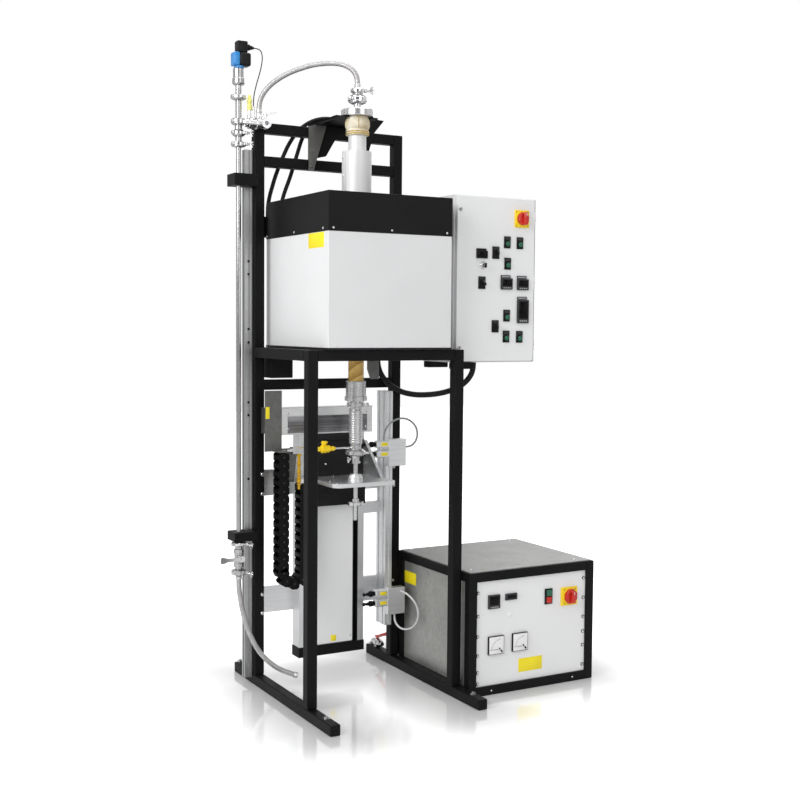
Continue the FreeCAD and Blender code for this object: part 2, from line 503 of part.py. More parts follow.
def control_cabinet():
    outer = plank("cabinet_outer", "cabinetX", "cabinetY", "cabinetLow", "cabinetWidth", "cabinetDepth",
                  "cabinetHigh", 3)
    hollow = box("cabinet_hollow", "cabinetX + cabinetWall", "cabinetY + cabinetWall",
                 "cabinetLow + cabinetWall", "cabinetWidth - 2 * cabinetWall",
                 "cabinetDepth - 2 * cabinetWall", "cabinetHigh - 2 * cabinetWall")
    mouth = box("cabinet_mouth", "cabinetX + 24", "cabinetY - 5", "cabinetLow + 24", "cabinetWidth - 48", 20,
                "cabinetHigh - 48")
    cut("control_cabinet", outer, hollow, mouth)
    back = "cabinetY + cabinetDepth - cabinetWall"
    plate = box("mounting_plate", "cabinetX + 25", f"{back} - 12", "cabinetLow + 25", "cabinetWidth - 50", 12,
                "cabinetHigh - 50")
    rails = [box(f"rail_{z}", "cabinetX + 45", f"{back} - 18", f"cabinetLow + {z}", "cabinetWidth - 90", 6, 35)
             for z in (107, 277, 457)]
    join("cabinet_plate", plate, *rails)
    units = [plank(f"unit_{k}", f"cabinetX + 60 + {54 * k}", f"{back} - 68", "cabinetLow + 79", 44, 50, 90, 2)
             for k in range(5)]
    units += [plank(f"unit_{k}", f"cabinetX + 60 + {54 * (k - 5)}", f"{back} - 78", "cabinetLow + 249", 44, 60, 90, 2)
              for k in (5, 6, 8)]
    group("cabinet_units", *units)
    plank("control_door", "doorX", "cabinetY - doorGap - doorThick", "doorLow", "doorWidth", "doorThick", "doorHigh", 2)
    face = "cabinetY - doorGap - doorThick"
    parts = [plank("door_switch_plate", "cabinetX + 267", f"{face} - 6", "cabinetLow + 529", "switchPlate", 6, "switchPlate", 1.5),
             plank("door_display", "cabinetX + 91", f"{face} - 8", "cabinetLow + 403", 50, 8, 38, 2),
             plank("door_control_1", "cabinetX + 205", f"{face} - 9", "cabinetLow + 285", 54, 9, 56, 2),
             plank("door_control_2", "cabinetX + 282", f"{face} - 9", "cabinetLow + 284", 54, 9, 56, 2),
             plank("door_control_3", "cabinetX + 284", f"{face} - 9", "cabinetLow + 154", 54, 9, 104, 2)]
    spots = {"button_1": (234, 469), "button_2": (294, 468), "button_3": (237, 386),
             "button_4": (235, 183), "button_5": (234, 101), "button_6": (297, 100)}
    for name, (right, up) in spots.items():
        x = f"cabinetX + {right}"
        z = f"cabinetLow + {up}"
        frame = plank(f"{name}_frame", f"{x} - 15", f"{face} - 8", f"{z} - 23", 30, 8, 46, 1.5)
        well = box(f"{name}_well", f"{x} - 10.2", f"{face} - 10", f"{z} - 16.2", 20.4, 20, 20.4)
        parts.append(cut(f"{name}_bezel", frame, well))
        plank(name, f"{x} - 10", f"{face} - 10.5", f"{z} - 16", 20, 7, 20, 1)
    for name, (right, up) in {"selector_1": (181, 427), "selector_2": (118, 309), "selector_3": (182, 141)}.items():
        x = f"cabinetX + {right}"
        z = f"cabinetLow + {up}"
        parts.append(plank(f"{name}_frame", f"{x} - 16", f"{face} - 7", f"{z} - 24", 32, 7, 48, 1.5))
        knob = turned(f"{name}_knob", "-y", x, f"{face} - 7", z,
                      [("0", "0"), (11, "0"), (11, 8), (9, 10), ("0", 10)])
        grip = plank(f"{name}_grip", f"{x} - 3.5", f"{face} - 24", f"{z} - 11", 7, 9, 22, 1)
        join(name, knob, grip)
    key_x = "cabinetX + 123"
    key_z = "cabinetLow + 376"
    parts.append(turned("key_barrel", "-y", key_x, face, key_z, [("0", "0"), (13, "0"), (13, 4), (10, 6),
                                                                ("0", 6)]))
    core = rod("key_core", "-y", key_x, f"{face} - 6", key_z, 7, 4)
    blade = plank("key_blade", f"{key_x} - 1.5", f"{face} - 26", f"{key_z} - 7", 3, 17, 14, 0.8)
    join("key_switch", core, blade)
    group("door_instruments", *parts)
    switch_knob("door_switch_knob", "cabinetX + 301", f"{face} - 6", "cabinetLow + 563")


def switch_knob(name, x, y, z):
    disc = turned(f"{name}_disc", "-y", x, y, z, [("0", "0"), ("knobRadius", "0"), ("knobRadius", 12),
                                                 ("knobRadius - 4", 15), ("0", 15)])
    grip = plank(f"{name}_grip", f"{x} - 8", f"{y} - 32", f"{z} - knobRadius + 2", 16, 18,
                 "2 * knobRadius - 4", 3)
    return join(name, disc, grip)


def power_cabinet():
    side = "powerTube"
    bars = []
    for i, x in enumerate(("powerX", "powerX + powerWidth - powerTube")):
        for j, y in enumerate(("powerY", "powerY + powerDepth - powerTube")):
            bars.append(plank(f"power_post_{i}{j}", x, y, 0, side, side, "powerHigh", 3))
        for j, z in enumerate(("0", "powerHigh - powerTube")):
            bars.append(plank(f"power_side_{i}{j}", x, "powerY + powerTube", z, side,
                              "powerDepth - 2 * powerTube", side, 3))
    for i, y in enumerate(("powerY", "powerY + powerDepth - powerTube")):
        for j, z in enumerate(("0", "powerHigh - powerTube")):
            bars.append(plank(f"power_bar_{i}{j}", "powerX + powerTube", y, z, "powerWidth - 2 * powerTube",
                              side, side, 3))
    for i, y in enumerate((250, 560)):  # packing pieces that tie the cabinet to the right rail
        bars.append(box(f"power_packing_{i}", "frameWidth", y, 4, "powerGap", 40, 28))
    group("power_frame", *bars)
    high = "powerHigh - 2 * powerTube"
    deep = "powerDepth - 2 * powerTube"
    wide = "powerWidth - 2 * powerTube"
    group("power_panels",
          plank("power_lid", "powerX + 8", "powerY + 8", "powerHigh", "powerWidth - 16", "powerDepth - 16", 3,
                1),
          box("power_left", "powerX + panelBack", "powerY + powerTube", side, "panelThick", deep, high),
          box("power_right", "powerX + powerWidth - panelBack - panelThick", "powerY + powerTube", side,
              "panelThick", deep, high),
          box("power_back", "powerX + powerTube", "powerY + powerDepth - panelBack - panelThick", side, wide,
              "panelThick", high),
          box("power_floor", "powerX + powerTube", "powerY + powerTube", 20, wide, deep, "panelThick"))
    box("power_front", "powerX + powerTube", "powerY + panelBack", side, wide, "panelThick", high)
    face = "powerY + panelBack"
    twin = plank("twin_frame", "powerX + 358", f"{face} - 8", 326, 36, 8, 62, 2)
    wells = [box(f"twin_well_{k}", "powerX + 363.8", f"{face} - 12", z, 24.4, 20, 24.4) for k, z in
             enumerate((330.8, 358.8))]
    group("power_instruments",
          plank("power_control", "powerX + 89", f"{face} - 10", 336, 54, 10, 54, 2),
          plank("power_display", "powerX + 169", f"{face} - 8", 362, 54, 8, 26, 2),
          turned("power_lamp", "-y", "powerX + 191", face, 303, [("0", "0"), (5, "0"), (5, 3), (3, 5), ("0", 5)]),
          cut("twin_bezel", twin, *wells),
          plank("meter_left", "powerX + 91", f"{face} - 9", 156, "meter", 9, "meter", 1.5),
          plank("meter_right", "powerX + 203", f"{face} - 9", 156, "meter", 9, "meter", 1.5),
          plank("power_switch_plate", "powerX + 445", f"{face} - 6", 314, "switchPlate", 6, "switchPlate", 1.5))
    plank("stop_button", "powerX + 364", f"{face} - 11", 331, 24, 7.5, 24, 1)
    plank("start_button", "powerX + 364", f"{face} - 11", 359, 24, 7.5, 24, 1)
    switch_knob("power_switch_knob", "powerX + 479", f"{face} - 6", 348)


def cords():
    cord("top_hose", [(324, 453, 2322), (324, 453, 2353), (317, 459, 2378), (304, 470, 2397),
                      (286, 485, 2410), (264, 503, 2417), (238, 522, 2419), (210, 541, 2417),
                      (181, 561, 2412), (152, 579, 2402), (122, 596, 2390), (94, 612, 2375),
                      (68, 625, 2357), (45, 636, 2337), (26, 645, 2314), (12, 651, 2288), (5, 654, 2259),
                      (5, 654, 2228)], sizes["hoseRadius"])
    cord("lower_hose", [(-72, 670, 449), (-72, 670, 417), (-70, 669, 385), (-66, 667, 353),
                        (-61, 665, 321), (-54, 662, 289), (-46, 660, 258), (-36, 657, 227),
                        (-24, 654, 197), (-10, 651, 168), (6, 648, 141), (25, 644, 117), (47, 640, 95),
                        (71, 635, 75), (98, 630, 59), (126, 625, 46), (156, 619, 34)], sizes["lowHoseRadius"])
    cord("gauge_cable", [(-10, 670, 2474), (9, 670, 2474), (20, 669, 2465), (24, 668, 2449),
                         (23, 666, 2430), (19, 665, 2408), (13, 663, 2387), (6, 661, 2366),
                         (-1, 659, 2346), (-7, 657, 2327), (-12, 656, 2308), (-16, 655, 2290),
                         (-18, 654, 2271), (-18, 654, 2252)], 2)
    cord("head_cable_left", [(345, 706, 2244), (315, 706, 2244), (287, 710, 2240), (260, 717, 2231),
                             (236, 725, 2217), (214, 732, 2199), (195, 737, 2177), (179, 741, 2153),
                             (164, 743, 2127), (151, 743, 2100), (139, 744, 2073), (127, 744, 2046),
                             (117, 746, 2018), (107, 746, 1990), (99, 747, 1962), (91, 749, 1934),
                             (85, 749, 1905), (82, 750, 1876), (82, 750, 1846)], sizes["cableRadius"])
    cord("head_cable_right", [(345, 712, 2220), (316, 712, 2220), (290, 718, 2219), (267, 728, 2213),
                              (248, 737, 2199), (234, 743, 2178), (224, 748, 2152), (216, 751, 2124),
                              (208, 753, 2096), (200, 756, 2069), (192, 757, 2042), (183, 757, 2015),
                              (173, 757, 1988), (162, 757, 1961), (152, 757, 1933), (144, 756, 1905),
                              (138, 756, 1876), (138, 756, 1846)], sizes["cableRadius"])
    cord("conduit", [(549, 696, 1295), (549, 696, 1272), (550, 690, 1250), (552, 679, 1230),
                     (557, 666, 1212), (567, 653, 1194), (583, 642, 1177), (605, 634, 1162),
                     (631, 628, 1150), (660, 621, 1143), (690, 613, 1139), (720, 602, 1139),
                     (749, 588, 1141), (776, 571, 1146), (801, 552, 1154), (823, 532, 1166),
                     (843, 512, 1181), (859, 494, 1202), (870, 480, 1228), (874, 474, 1255),
                     (874, 474, 1283)], sizes["conduitRadius"])
    cord("upper_loop", [(540, 621, 956), (540, 621, 980), (546, 616, 1003), (557, 609, 1022),
                        (572, 600, 1037), (591, 592, 1045), (612, 586, 1047), (633, 583, 1041),
                        (654, 584, 1028), (672, 588, 1009), (683, 595, 986), (686, 603, 961),
                        (677, 610, 939), (659, 614, 926), (635, 614, 926)], 4)
    cord("lower_loop", [(620, 604, 328), (620, 580, 328), (624, 557, 322), (631, 539, 310),
                        (638, 524, 294), (645, 516, 273), (648, 514, 250), (648, 518, 227),
                        (644, 528, 205), (637, 543, 188), (628, 561, 178), (618, 581, 174),
                        (608, 599, 179), (600, 614, 192), (596, 622, 212), (596, 622, 236)], 4)


base_frame()
bolts()
furnace()
process_tube()
head_brackets()
drive()
carriage()
chain()
vacuum_column()
ball_valve()
services()
control_cabinet()
power_cabinet()
cords()
group("sheet_brackets", doc.sheet_join, doc.side_flap, doc.head_gusset, doc.cabinet_plate)
group("head_bracket", doc.bracket_back, doc.head_shelf)
group("black_brackets", doc.drive_foot, doc.column_clamps, doc.service_box, doc.head_junction,
      doc.back_junction, doc.upper_tips, doc.lower_tips, doc.cabinet_units)
doc.recompute()

nodes = [
    "frame_tubes", "fasteners", "furnace_casing", "furnace_band", "insulation",
    "heating_elements", "growth_tube", "tube_jacket", "neck_wrap", "tube_head", "lower_seal",
    "head_bracket", "black_brackets", "sheet_brackets", "drive_column", "drive_cover", "drive_beams", "carriage",
    "growth_rod", "chain_fixed", "chain_bend", "chain_moving", "vacuum_pipe", "valve_cross", "port_lever",
    "gauge_head", "valve_handle", "gas_valve", "steel_fittings", "valve_blocks", "water_lever",
    "control_cabinet", "control_door", "door_instruments", "door_switch_knob", "button_1", "button_2",
    "button_3", "button_4", "button_5", "button_6", "selector_1", "selector_2", "selector_3", "key_switch",
    "power_frame", "power_panels", "power_front", "power_instruments", "power_switch_knob",
    "start_button", "stop_button", "top_hose", "lower_hose", "gauge_cable", "head_cable_left",
    "head_cable_right", "conduit", "upper_loop", "lower_loop",
]
wrong = [item.Name for item in doc.Objects if "Invalid" in item.State or "Error" in item.State]
if wrong:
    raise RuntimeError("objects with errors: " + ", ".join(wrong))
os.makedirs("parts", exist_ok=True)
for name in nodes:
    item = doc.getObject(name)
    shape = item.Shape
    if shape.isNull() or not shape.isValid() or not shape.Solids:
        raise RuntimeError("bad shape in " + name)
    shape.exportStep("parts/" + name + ".step")
    bounds = shape.BoundBox
    print(name, len(shape.Solids), "solids", [round(v) for v in (bounds.XMin, bounds.XMax, bounds.YMin,
          bounds.YMax, bounds.ZMin, bounds.ZMax)])
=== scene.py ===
import math

import bmesh
import bpy
from mathutils import Matrix, Vector


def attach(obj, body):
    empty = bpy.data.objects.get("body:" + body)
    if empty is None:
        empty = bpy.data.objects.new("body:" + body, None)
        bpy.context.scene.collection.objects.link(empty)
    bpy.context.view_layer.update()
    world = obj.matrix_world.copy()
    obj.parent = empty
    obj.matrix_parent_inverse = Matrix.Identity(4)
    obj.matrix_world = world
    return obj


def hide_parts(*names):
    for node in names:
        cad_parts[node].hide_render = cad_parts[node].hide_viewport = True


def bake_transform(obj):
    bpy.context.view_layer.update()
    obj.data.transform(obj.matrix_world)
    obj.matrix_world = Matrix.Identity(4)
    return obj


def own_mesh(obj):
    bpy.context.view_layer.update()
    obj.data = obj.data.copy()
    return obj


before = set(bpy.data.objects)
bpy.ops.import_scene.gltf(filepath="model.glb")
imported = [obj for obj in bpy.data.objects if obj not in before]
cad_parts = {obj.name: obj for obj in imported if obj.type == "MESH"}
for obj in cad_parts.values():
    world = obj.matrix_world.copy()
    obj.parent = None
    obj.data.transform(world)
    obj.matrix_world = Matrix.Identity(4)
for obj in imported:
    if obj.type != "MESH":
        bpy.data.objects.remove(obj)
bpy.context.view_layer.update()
print("frame loaded:", len(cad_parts), "nodes")

compass = {
    "x": (1, 0, 0), "-x": (-1, 0, 0),
    "y": (0, 1, 0), "-y": (0, -1, 0),
    "z": (0, 0, 1), "-z": (0, 0, -1),
}


def at(x, y, z):
    # millimetres from the left rail's outer face, the rails' front ends and the floor
    return Vector(((x - 545) / 1000, (y - 450) / 1000, z / 1000))


def placeObject(name, data):
    made = bpy.data.objects.new(name, data)
    bpy.context.scene.collection.objects.link(made)
    return made


def placeNode(tree, kind, sockets, **settings):
    # a new node whose sockets take a constant or another node's output
    made = tree.nodes.new(kind)
    for label, value in settings.items():
        setattr(made, label, value)
    for label, value in sockets.items():
        if isinstance(value, bpy.types.NodeSocket):
            tree.links.new(value, made.inputs[label])
        else:
            made.inputs[label].default_value = value
    return made


def combine(tree, operation, first, second):
    return placeNode(tree, "ShaderNodeMath", {0: first, 1: second}, operation=operation).outputs[0]


def combineVectors(tree, operation, *sources):
    return placeNode(tree, "ShaderNodeVectorMath", dict(enumerate(sources)), operation=operation).outputs


def rangeOf(tree, source, before, after, **settings):
    labels = ("From Min", "From Max", "To Min", "To Max")
    sockets = {"Value": source, **dict(zip(labels, (*before, *after)))}
    return placeNode(tree, "ShaderNodeMapRange", sockets, **settings).outputs[0]


def noiseOf(tree, vector, scale, detail, roughness=0.5):
    sockets = {"Vector": vector, "Scale": scale, "Detail": detail, "Roughness": roughness}
    return placeNode(tree, "ShaderNodeTexNoise", sockets).outputs["Fac"]


def coordsOf(tree, kind="Object"):
    return tree.nodes.new("ShaderNodeTexCoord").outputs[kind]


# camera, lamps and floor

view = {
    "place": (-2.336933, -4.111031, 1.428008),
    "yaw": 29.3307, "pitch": -3.6, "roll": 0.4681,  # degrees
    "lens": 54.01,
}


def makeCamera():
    yaw, pitch, roll = (math.radians(view[k]) for k in ("yaw", "pitch", "roll"))
    ahead = Vector((math.sin(yaw) * math.cos(pitch), math.cos(yaw) * math.cos(pitch), math.sin(pitch)))
    level = Vector((math.cos(yaw), -math.sin(yaw), 0))
    rise = level.cross(ahead)
    right = level * math.cos(roll) + rise * math.sin(roll)
    up = rise * math.cos(roll) - level * math.sin(roll)
    camera = placeObject("photoCamera", bpy.data.cameras.new("photoCamera"))
    camera.data.lens = view["lens"]
    camera.data.sensor_width = 36
    camera.data.clip_end = 60
    camera.matrix_world = Matrix((
        (right.x, up.x, -ahead.x, view["place"][0]),
        (right.y, up.y, -ahead.y, view["place"][1]),
        (right.z, up.z, -ahead.z, view["place"][2]),
        (0, 0, 0, 1)))
    bpy.context.scene.camera = camera
    bpy.context.scene.view_settings.view_transform = "Standard"


studio = {
    "worldSoft": 0.66,  # strength that reaches matt surfaces
    "worldSeen": 1.0,  # strength that the camera and reflections see
    "skyHeights": (0.04, 0.5),  # upward share of a direction where the sky starts and stops brightening
    "skyLow": 0.5,  # strength that reflections see at the horizon
    "skyScale": 3.4,
    "skyNoise": (0.38, 0.62),
    "skyTurn": (0.15, 1.35),  # least and most share of it, by direction
    "floorColour": (0.76, 0.76, 0.76, 1),
    "floorRough": 0.1,
    "floorIndex": 3.2,
    "floorShine": 0.8,
    "floorLift": (0.08, 0.8),  # white that the camera adds, near the feet and away from them
    "floorReach": 14,
    "fade": 0.5,  # metres over which the reflections fade
    "feet": [((0, 55), (0, 900)), ((593, 655), (0, 900)), ((655, 1250), (145, 720)),
             ((130, 480), (655, 760))],  # left and right, front and rear
    "lamps": [
        ("keyLamp", (-4.2, -1.6, 3.4), (0, 0, 1.2), 2.6, 140),
        ("frontLamp", (0.6, -5.2, 2.8), (0, 0, 1.1), 2.8, 28),
        ("topLamp", (0.4, 0.4, 4.8), (0, 0, 1), 2.6, 42),
        ("backLamp", (3.6, 3.2, 2.8), (0, 0, 1.1), 2.4, 40),
    ],
}


def skyStrength(tree, path):
    # reflections see a darker horizon and softly uneven walls, so that bright metal has contrast
    coords = coordsOf(tree, "Generated")
    parts = placeNode(tree, "ShaderNodeSeparateXYZ", {0: coords})
    height = rangeOf(tree, parts.outputs["Z"], studio["skyHeights"], (studio["skyLow"], 1))
    walls = noiseOf(tree, coords, studio["skyScale"], 1)
    uneven = combine(tree, "MULTIPLY", height, rangeOf(tree, walls, studio["skyNoise"], studio["skyTurn"]))
    return placeNode(tree, "ShaderNodeMix", {0: path["Is Glossy Ray"], 2: 1, 3: uneven}).outputs[0]


def makeWorld():
    world = bpy.data.worlds.new("studioWorld")
    world.use_nodes = True
    tree = world.node_tree
    path = tree.nodes.new("ShaderNodeLightPath").outputs
    seen = combine(tree, "MAXIMUM", path["Is Camera Ray"], path["Is Glossy Ray"])
    seen = combine(tree, "MAXIMUM", seen, path["Is Transmission Ray"])
    level = rangeOf(tree, seen, (0, 1), (studio["worldSoft"], studio["worldSeen"]))
    back = tree.nodes["Background"].inputs
    back["Color"].default_value = (1, 1, 1, 1)
    tree.links.new(combine(tree, "MULTIPLY", level, skyStrength(tree, path)), back["Strength"])
    bpy.context.scene.world = world


def makeLamps():
    for name, place, aim, size, power in studio["lamps"]:
        lamp = bpy.data.lights.new(name, "AREA")
        lamp.shape = "SQUARE"
        lamp.size = size
        lamp.energy = power
        holder = placeObject(name, lamp)
        holder.location = place
        holder.rotation_euler = (Vector(aim) - Vector(place)).to_track_quat("-Z", "Y").to_euler()


def farFromFeet(tree):
    # 0 beside the rails, the drive and the power cabinet, 1 beyond the fade
    coords = coordsOf(tree)
    nearest = None
    for (left, right), (front, rear) in studio["feet"]:
        low, high = at(left, front, 0), at(right, rear, 0)
        shift = combineVectors(tree, "SUBTRACT", coords, (low + high) / 2)[0]
        away = combineVectors(tree, "ABSOLUTE", shift)[0]
        past = combineVectors(tree, "SUBTRACT", away, (high - low) / 2)[0]
        outside = combineVectors(tree, "MAXIMUM", past)[0]
        span = combineVectors(tree, "LENGTH", outside)["Value"]
        nearest = span if nearest is None else combine(tree, "MINIMUM", nearest, span)
    return rangeOf(tree, nearest, (0, studio["fade"]), (0, 1), interpolation_type="SMOOTHSTEP")


def makeFloor():
    shade = bpy.data.materials.new("floorGloss")
    shade.use_nodes = True
    tree = shade.node_tree
    gloss = tree.nodes["Principled BSDF"]
    for label, value in (("Base Color", "floorColour"), ("Roughness", "floorRough"), ("IOR", "floorIndex")):
        gloss.inputs[label].default_value = studio[value]
    far = farFromFeet(tree)
    tree.links.new(rangeOf(tree, far, (0, 1), (studio["floorShine"], 0)), gloss.inputs["Specular IOR Level"])
    path = tree.nodes.new("ShaderNodeLightPath")
    white = rangeOf(tree, far, (0, 1), studio["floorLift"])
    seen = combine(tree, "MULTIPLY", path.outputs["Is Camera Ray"], white)
    lift = placeNode(tree, "ShaderNodeEmission", {"Strength": seen})
    both = placeNode(tree, "ShaderNodeAddShader", {0: gloss.outputs[0], 1: lift.outputs[0]})
    tree.links.new(both.outputs[0], tree.nodes["Material Output"].inputs["Surface"])
    mesh = bpy.data.meshes.new("studioFloor")
    reach = studio["floorReach"]
    corners = [(-reach, -reach, 0), (reach, -reach, 0), (reach, reach, 0), (-reach, reach, 0)]
    mesh.from_pydata(corners, [], [(0, 1, 2, 3)])
    mesh.materials.append(shade)
    placeObject("studioFloor", mesh)


makeCamera()
makeWorld()
makeLamps()
makeFloor()
print("camera, lamps and floor made")


# shader groups that several finishes share

def shaderGroup(name, inputs, outputs):
    group = bpy.data.node_groups.new(name, "ShaderNodeTree")
    for label, value in inputs:
        kind = "NodeSocketVector" if isinstance(value, tuple) else "NodeSocketFloat"
        group.interface.new_socket(name=label, in_out="INPUT", socket_type=kind).default_value = value
    for label in outputs:
        group.interface.new_socket(name=label, in_out="OUTPUT", socket_type="NodeSocketFloat")
    return group, group.nodes.new("NodeGroupInput").outputs, group.nodes.new("NodeGroupOutput").inputs


def makePowderGroup():
    # fine orange peel of powder coat, with slow changes of tone
    group, inlet, outlet = shaderGroup("powderPeel", [("Scale", 900), ("Slow Scale", 3)], ["Height", "Tone"])
    coords = coordsOf(group)
    group.links.new(noiseOf(group, coords, inlet["Scale"], 2), outlet["Height"])
    group.links.new(noiseOf(group, coords, inlet["Slow Scale"], 5, 0.6), outlet["Tone"])
    return group


def makeDrawnGroup():
    # drawing or brushing lines: noise stretched along one direction
    group, inlet, outlet = shaderGroup(
        "drawnLines", [("Stretch", (400, 400, 6)), ("Smudge Scale", 6)], ["Lines", "Smudge"])
    coords = coordsOf(group)
    stretched = combineVectors(group, "MULTIPLY", coords, inlet["Stretch"])[0]
    group.links.new(noiseOf(group, stretched, 1, 4), outlet["Lines"])
    group.links.new(noiseOf(group, coords, inlet["Smudge Scale"], 6, 0.65), outlet["Smudge"])
    return group


def makeFlakeGroup():
    # zinc crystals: cells of slightly different grey
    group, inlet, outlet = shaderGroup("zincFlakes", [("Scale", 60), ("Cloud Scale", 7)], ["Flake", "Cloud"])
    coords = coordsOf(group)
    cells = placeNode(group, "ShaderNodeTexVoronoi", {"Vector": coords, "Scale": inlet["Scale"]})
    grey = placeNode(group, "ShaderNodeSeparateColor", {"Color": cells.outputs["Color"]})
    group.links.new(grey.outputs[0], outlet["Flake"])
    group.links.new(noiseOf(group, coords, inlet["Cloud Scale"], 7, 0.7), outlet["Cloud"])
    return group


powderPeel = makePowderGroup()
drawnLines = makeDrawnGroup()
zincFlakes = makeFlakeGroup()


def startFinish(name, roughness, metallic=0.0, coat=0.0, specular=0.5):
    made = bpy.data.materials.new(name)
    made.use_nodes = True
    skin = made.node_tree.nodes["Principled BSDF"].inputs
    skin["Roughness"].default_value = roughness
    skin["Metallic"].default_value = metallic
    skin["Specular IOR Level"].default_value = specular
    if coat:
        skin["Coat Weight"].default_value = coat
        skin["Coat Roughness"].default_value = 0.08
    return made, made.node_tree, skin


def groupOutputs(tree, group, sockets):
    return placeNode(tree, "ShaderNodeGroup", sockets, node_tree=group).outputs


def tint(tree, source, low, high, start=0.3, stop=0.7):
    ramp = placeNode(tree, "ShaderNodeValToRGB", {"Fac": source})
    for stage, position, colour in zip(ramp.color_ramp.elements, (start, stop), (low, high)):
        stage.position = position
        stage.color = (*colour, 1)
    return ramp.outputs["Color"]


def multiply(tree, first, second):
    sockets = {0: 1, 6: first, 7: second}
    return placeNode(tree, "ShaderNodeMix", sockets, data_type="RGBA", blend_type="MULTIPLY").outputs[2]


def shadeBesideLimit(tree, colour, axis, limit, inner, outer):
    # painted shade: two strengths of one colour, on either side of a place along an axis, the weaker one
    # standing for shade
    parts = placeNode(tree, "ShaderNodeSeparateXYZ", {0: coordsOf(tree)})
    step = rangeOf(tree, parts.outputs[axis], (limit - 0.0005, limit + 0.0005), (0, 1))
    share = placeNode(tree, "ShaderNodeMix", {0: step, 6: (*inner, 1), 7: (*outer, 1)}, data_type="RGBA")
    return multiply(tree, colour, share.outputs[2])


def dress(tree, skin, colour, height, strength, depth, gloss=None, spread=(0, 0)):
    # colour, relief and, where gloss is given, a roughness that varies over spread
    tree.links.new(colour, skin["Base Color"])
    bump = placeNode(tree, "ShaderNodeBump", {"Height": height, "Strength": strength, "Distance": depth})
    tree.links.new(bump.outputs["Normal"], skin["Normal"])
    if gloss is not None:
        tree.links.new(rangeOf(tree, gloss, (0.3, 0.7), spread), skin["Roughness"])


def powderFinish(name, low, high, roughness, scale=900, strength=0.25, slow=3.0, specular=0.5):
    made, tree, skin = startFinish(name, roughness, specular=specular)
    peel = groupOutputs(tree, powderPeel, {"Scale": scale, "Slow Scale": slow})
    dress(tree, skin, tint(tree, peel["Tone"], low, high), peel["Height"], strength, 0.0004, peel["Tone"],
          (roughness - 0.05, roughness + 0.07))
    return made


def plasticFinish(name, low, high, roughness, coat=0.0, scale=1400, strength=0.1, specular=0.5):
    made, tree, skin = startFinish(name, roughness, 0.0, coat, specular)
    peel = groupOutputs(tree, powderPeel, {"Scale": scale, "Slow Scale": 14})
    dress(tree, skin, tint(tree, peel["Tone"], low, high), peel["Height"], strength, 0.0002, peel["Tone"],
          (roughness - 0.04, roughness + 0.06))
    return made


def drawnFinish(name, low, high, roughness, stretch, metallic=1.0, strength=0.12, smudge=6.0, paintedShade=None):
    made, tree, skin = startFinish(name, roughness, metallic)
    drawn = groupOutputs(tree, drawnLines, {"Stretch": stretch, "Smudge Scale": smudge})
    colour = tint(tree, drawn["Lines"], low, high)
    if paintedShade:
        colour = shadeBesideLimit(tree, colour, *paintedShade)
    dress(tree, skin, colour, drawn["Lines"], strength, 0.0002, drawn["Smudge"],
          (roughness - 0.07, roughness + 0.1))
    return made


def zincFinish(name, low, high, roughness, lid, lidShade):
    made, tree, skin = startFinish(name, roughness, 0.75)
    flakes = groupOutputs(tree, zincFlakes, {"Scale": 70, "Cloud Scale": 6})
    colour = multiply(tree, tint(tree, flakes["Flake"], low, high, 0.0, 1.0),
                      tint(tree, flakes["Cloud"], (0.84, 0.84, 0.83), (1.06, 1.06, 1.04)))
    # painted shade: the lid, above z 484 mm, is painted darker than the sides
    colour = shadeBesideLimit(tree, colour, "Z", lid, (1, 1, 1), (lidShade, lidShade, lidShade))
    dress(tree, skin, colour, flakes["Cloud"], 0.08, 0.001, flakes["Cloud"],
          (roughness - 0.06, roughness + 0.08))
    return made


def amberFinish():
    # clear amber film wound over a pale tube: slanted overlaps and folds
    made, tree, skin = startFinish("amberFilm", 0.22, 0.0, 0.6)
    slant = placeNode(tree, "ShaderNodeMapping", {"Vector": coordsOf(tree), "Rotation": (0.5, 0.35, 0)})
    wave = placeNode(tree, "ShaderNodeTexWave",
                     {"Vector": slant.outputs[0], "Scale": 9, "Distortion": 3.5, "Detail": 3},
                     wave_type="BANDS", bands_direction="Z", wave_profile="SAW").outputs["Fac"]
    dress(tree, skin, tint(tree, wave, (0.43, 0.23, 0.035), (0.72, 0.47, 0.12), 0.1, 0.9), wave, 0.5, 0.002)
    return made


def wrapFinish():
    # woven glass tape, stained by heat
    made, tree, skin = startFinish("glassTape", 0.8)
    coords = coordsOf(tree)
    weave = placeNode(tree, "ShaderNodeTexWave", {"Vector": coords, "Scale": 220, "Distortion": 1.2},
                      bands_direction="Z")
    stain = noiseOf(tree, coords, 22, 6)
    stained = tint(tree, stain, (0.56, 0.43, 0.20), (0.86, 0.82, 0.70))
    dress(tree, skin, stained, weave.outputs["Fac"], 0.4, 0.0008)
    return made


# low and high colour, roughness, orange peel's scale and depth, scale of the slow changes, specular level
powders = {
    "blackPowder": ((0.0045, 0.0045, 0.005), (0.008, 0.008, 0.0085), 0.44, 900, 0.25, 3, 0.12),
    "greyPowder": ((0.69, 0.695, 0.70), (0.74, 0.745, 0.75), 0.5, 900, 0.25, 2, 0.5),
    # painted light: a lighter copy of the grey powder, making up for the shade that the cover, power front
    # and door get
    "lightPowder": ((0.80, 0.805, 0.81), (0.85, 0.855, 0.86), 0.5, 900, 0.25, 2, 0.5),
    "darkPowder": ((0.007, 0.007, 0.0075), (0.011, 0.011, 0.0115), 0.46, 900, 0.25, 3, 0.13),
    "fibreBoard": ((0.70, 0.67, 0.60), (0.85, 0.83, 0.78), 0.9, 500, 0.5, 20, 0.5),
    "darkCeramic": ((0.16, 0.15, 0.14), (0.3, 0.28, 0.26), 0.7, 600, 0.4, 20, 0.5),
}
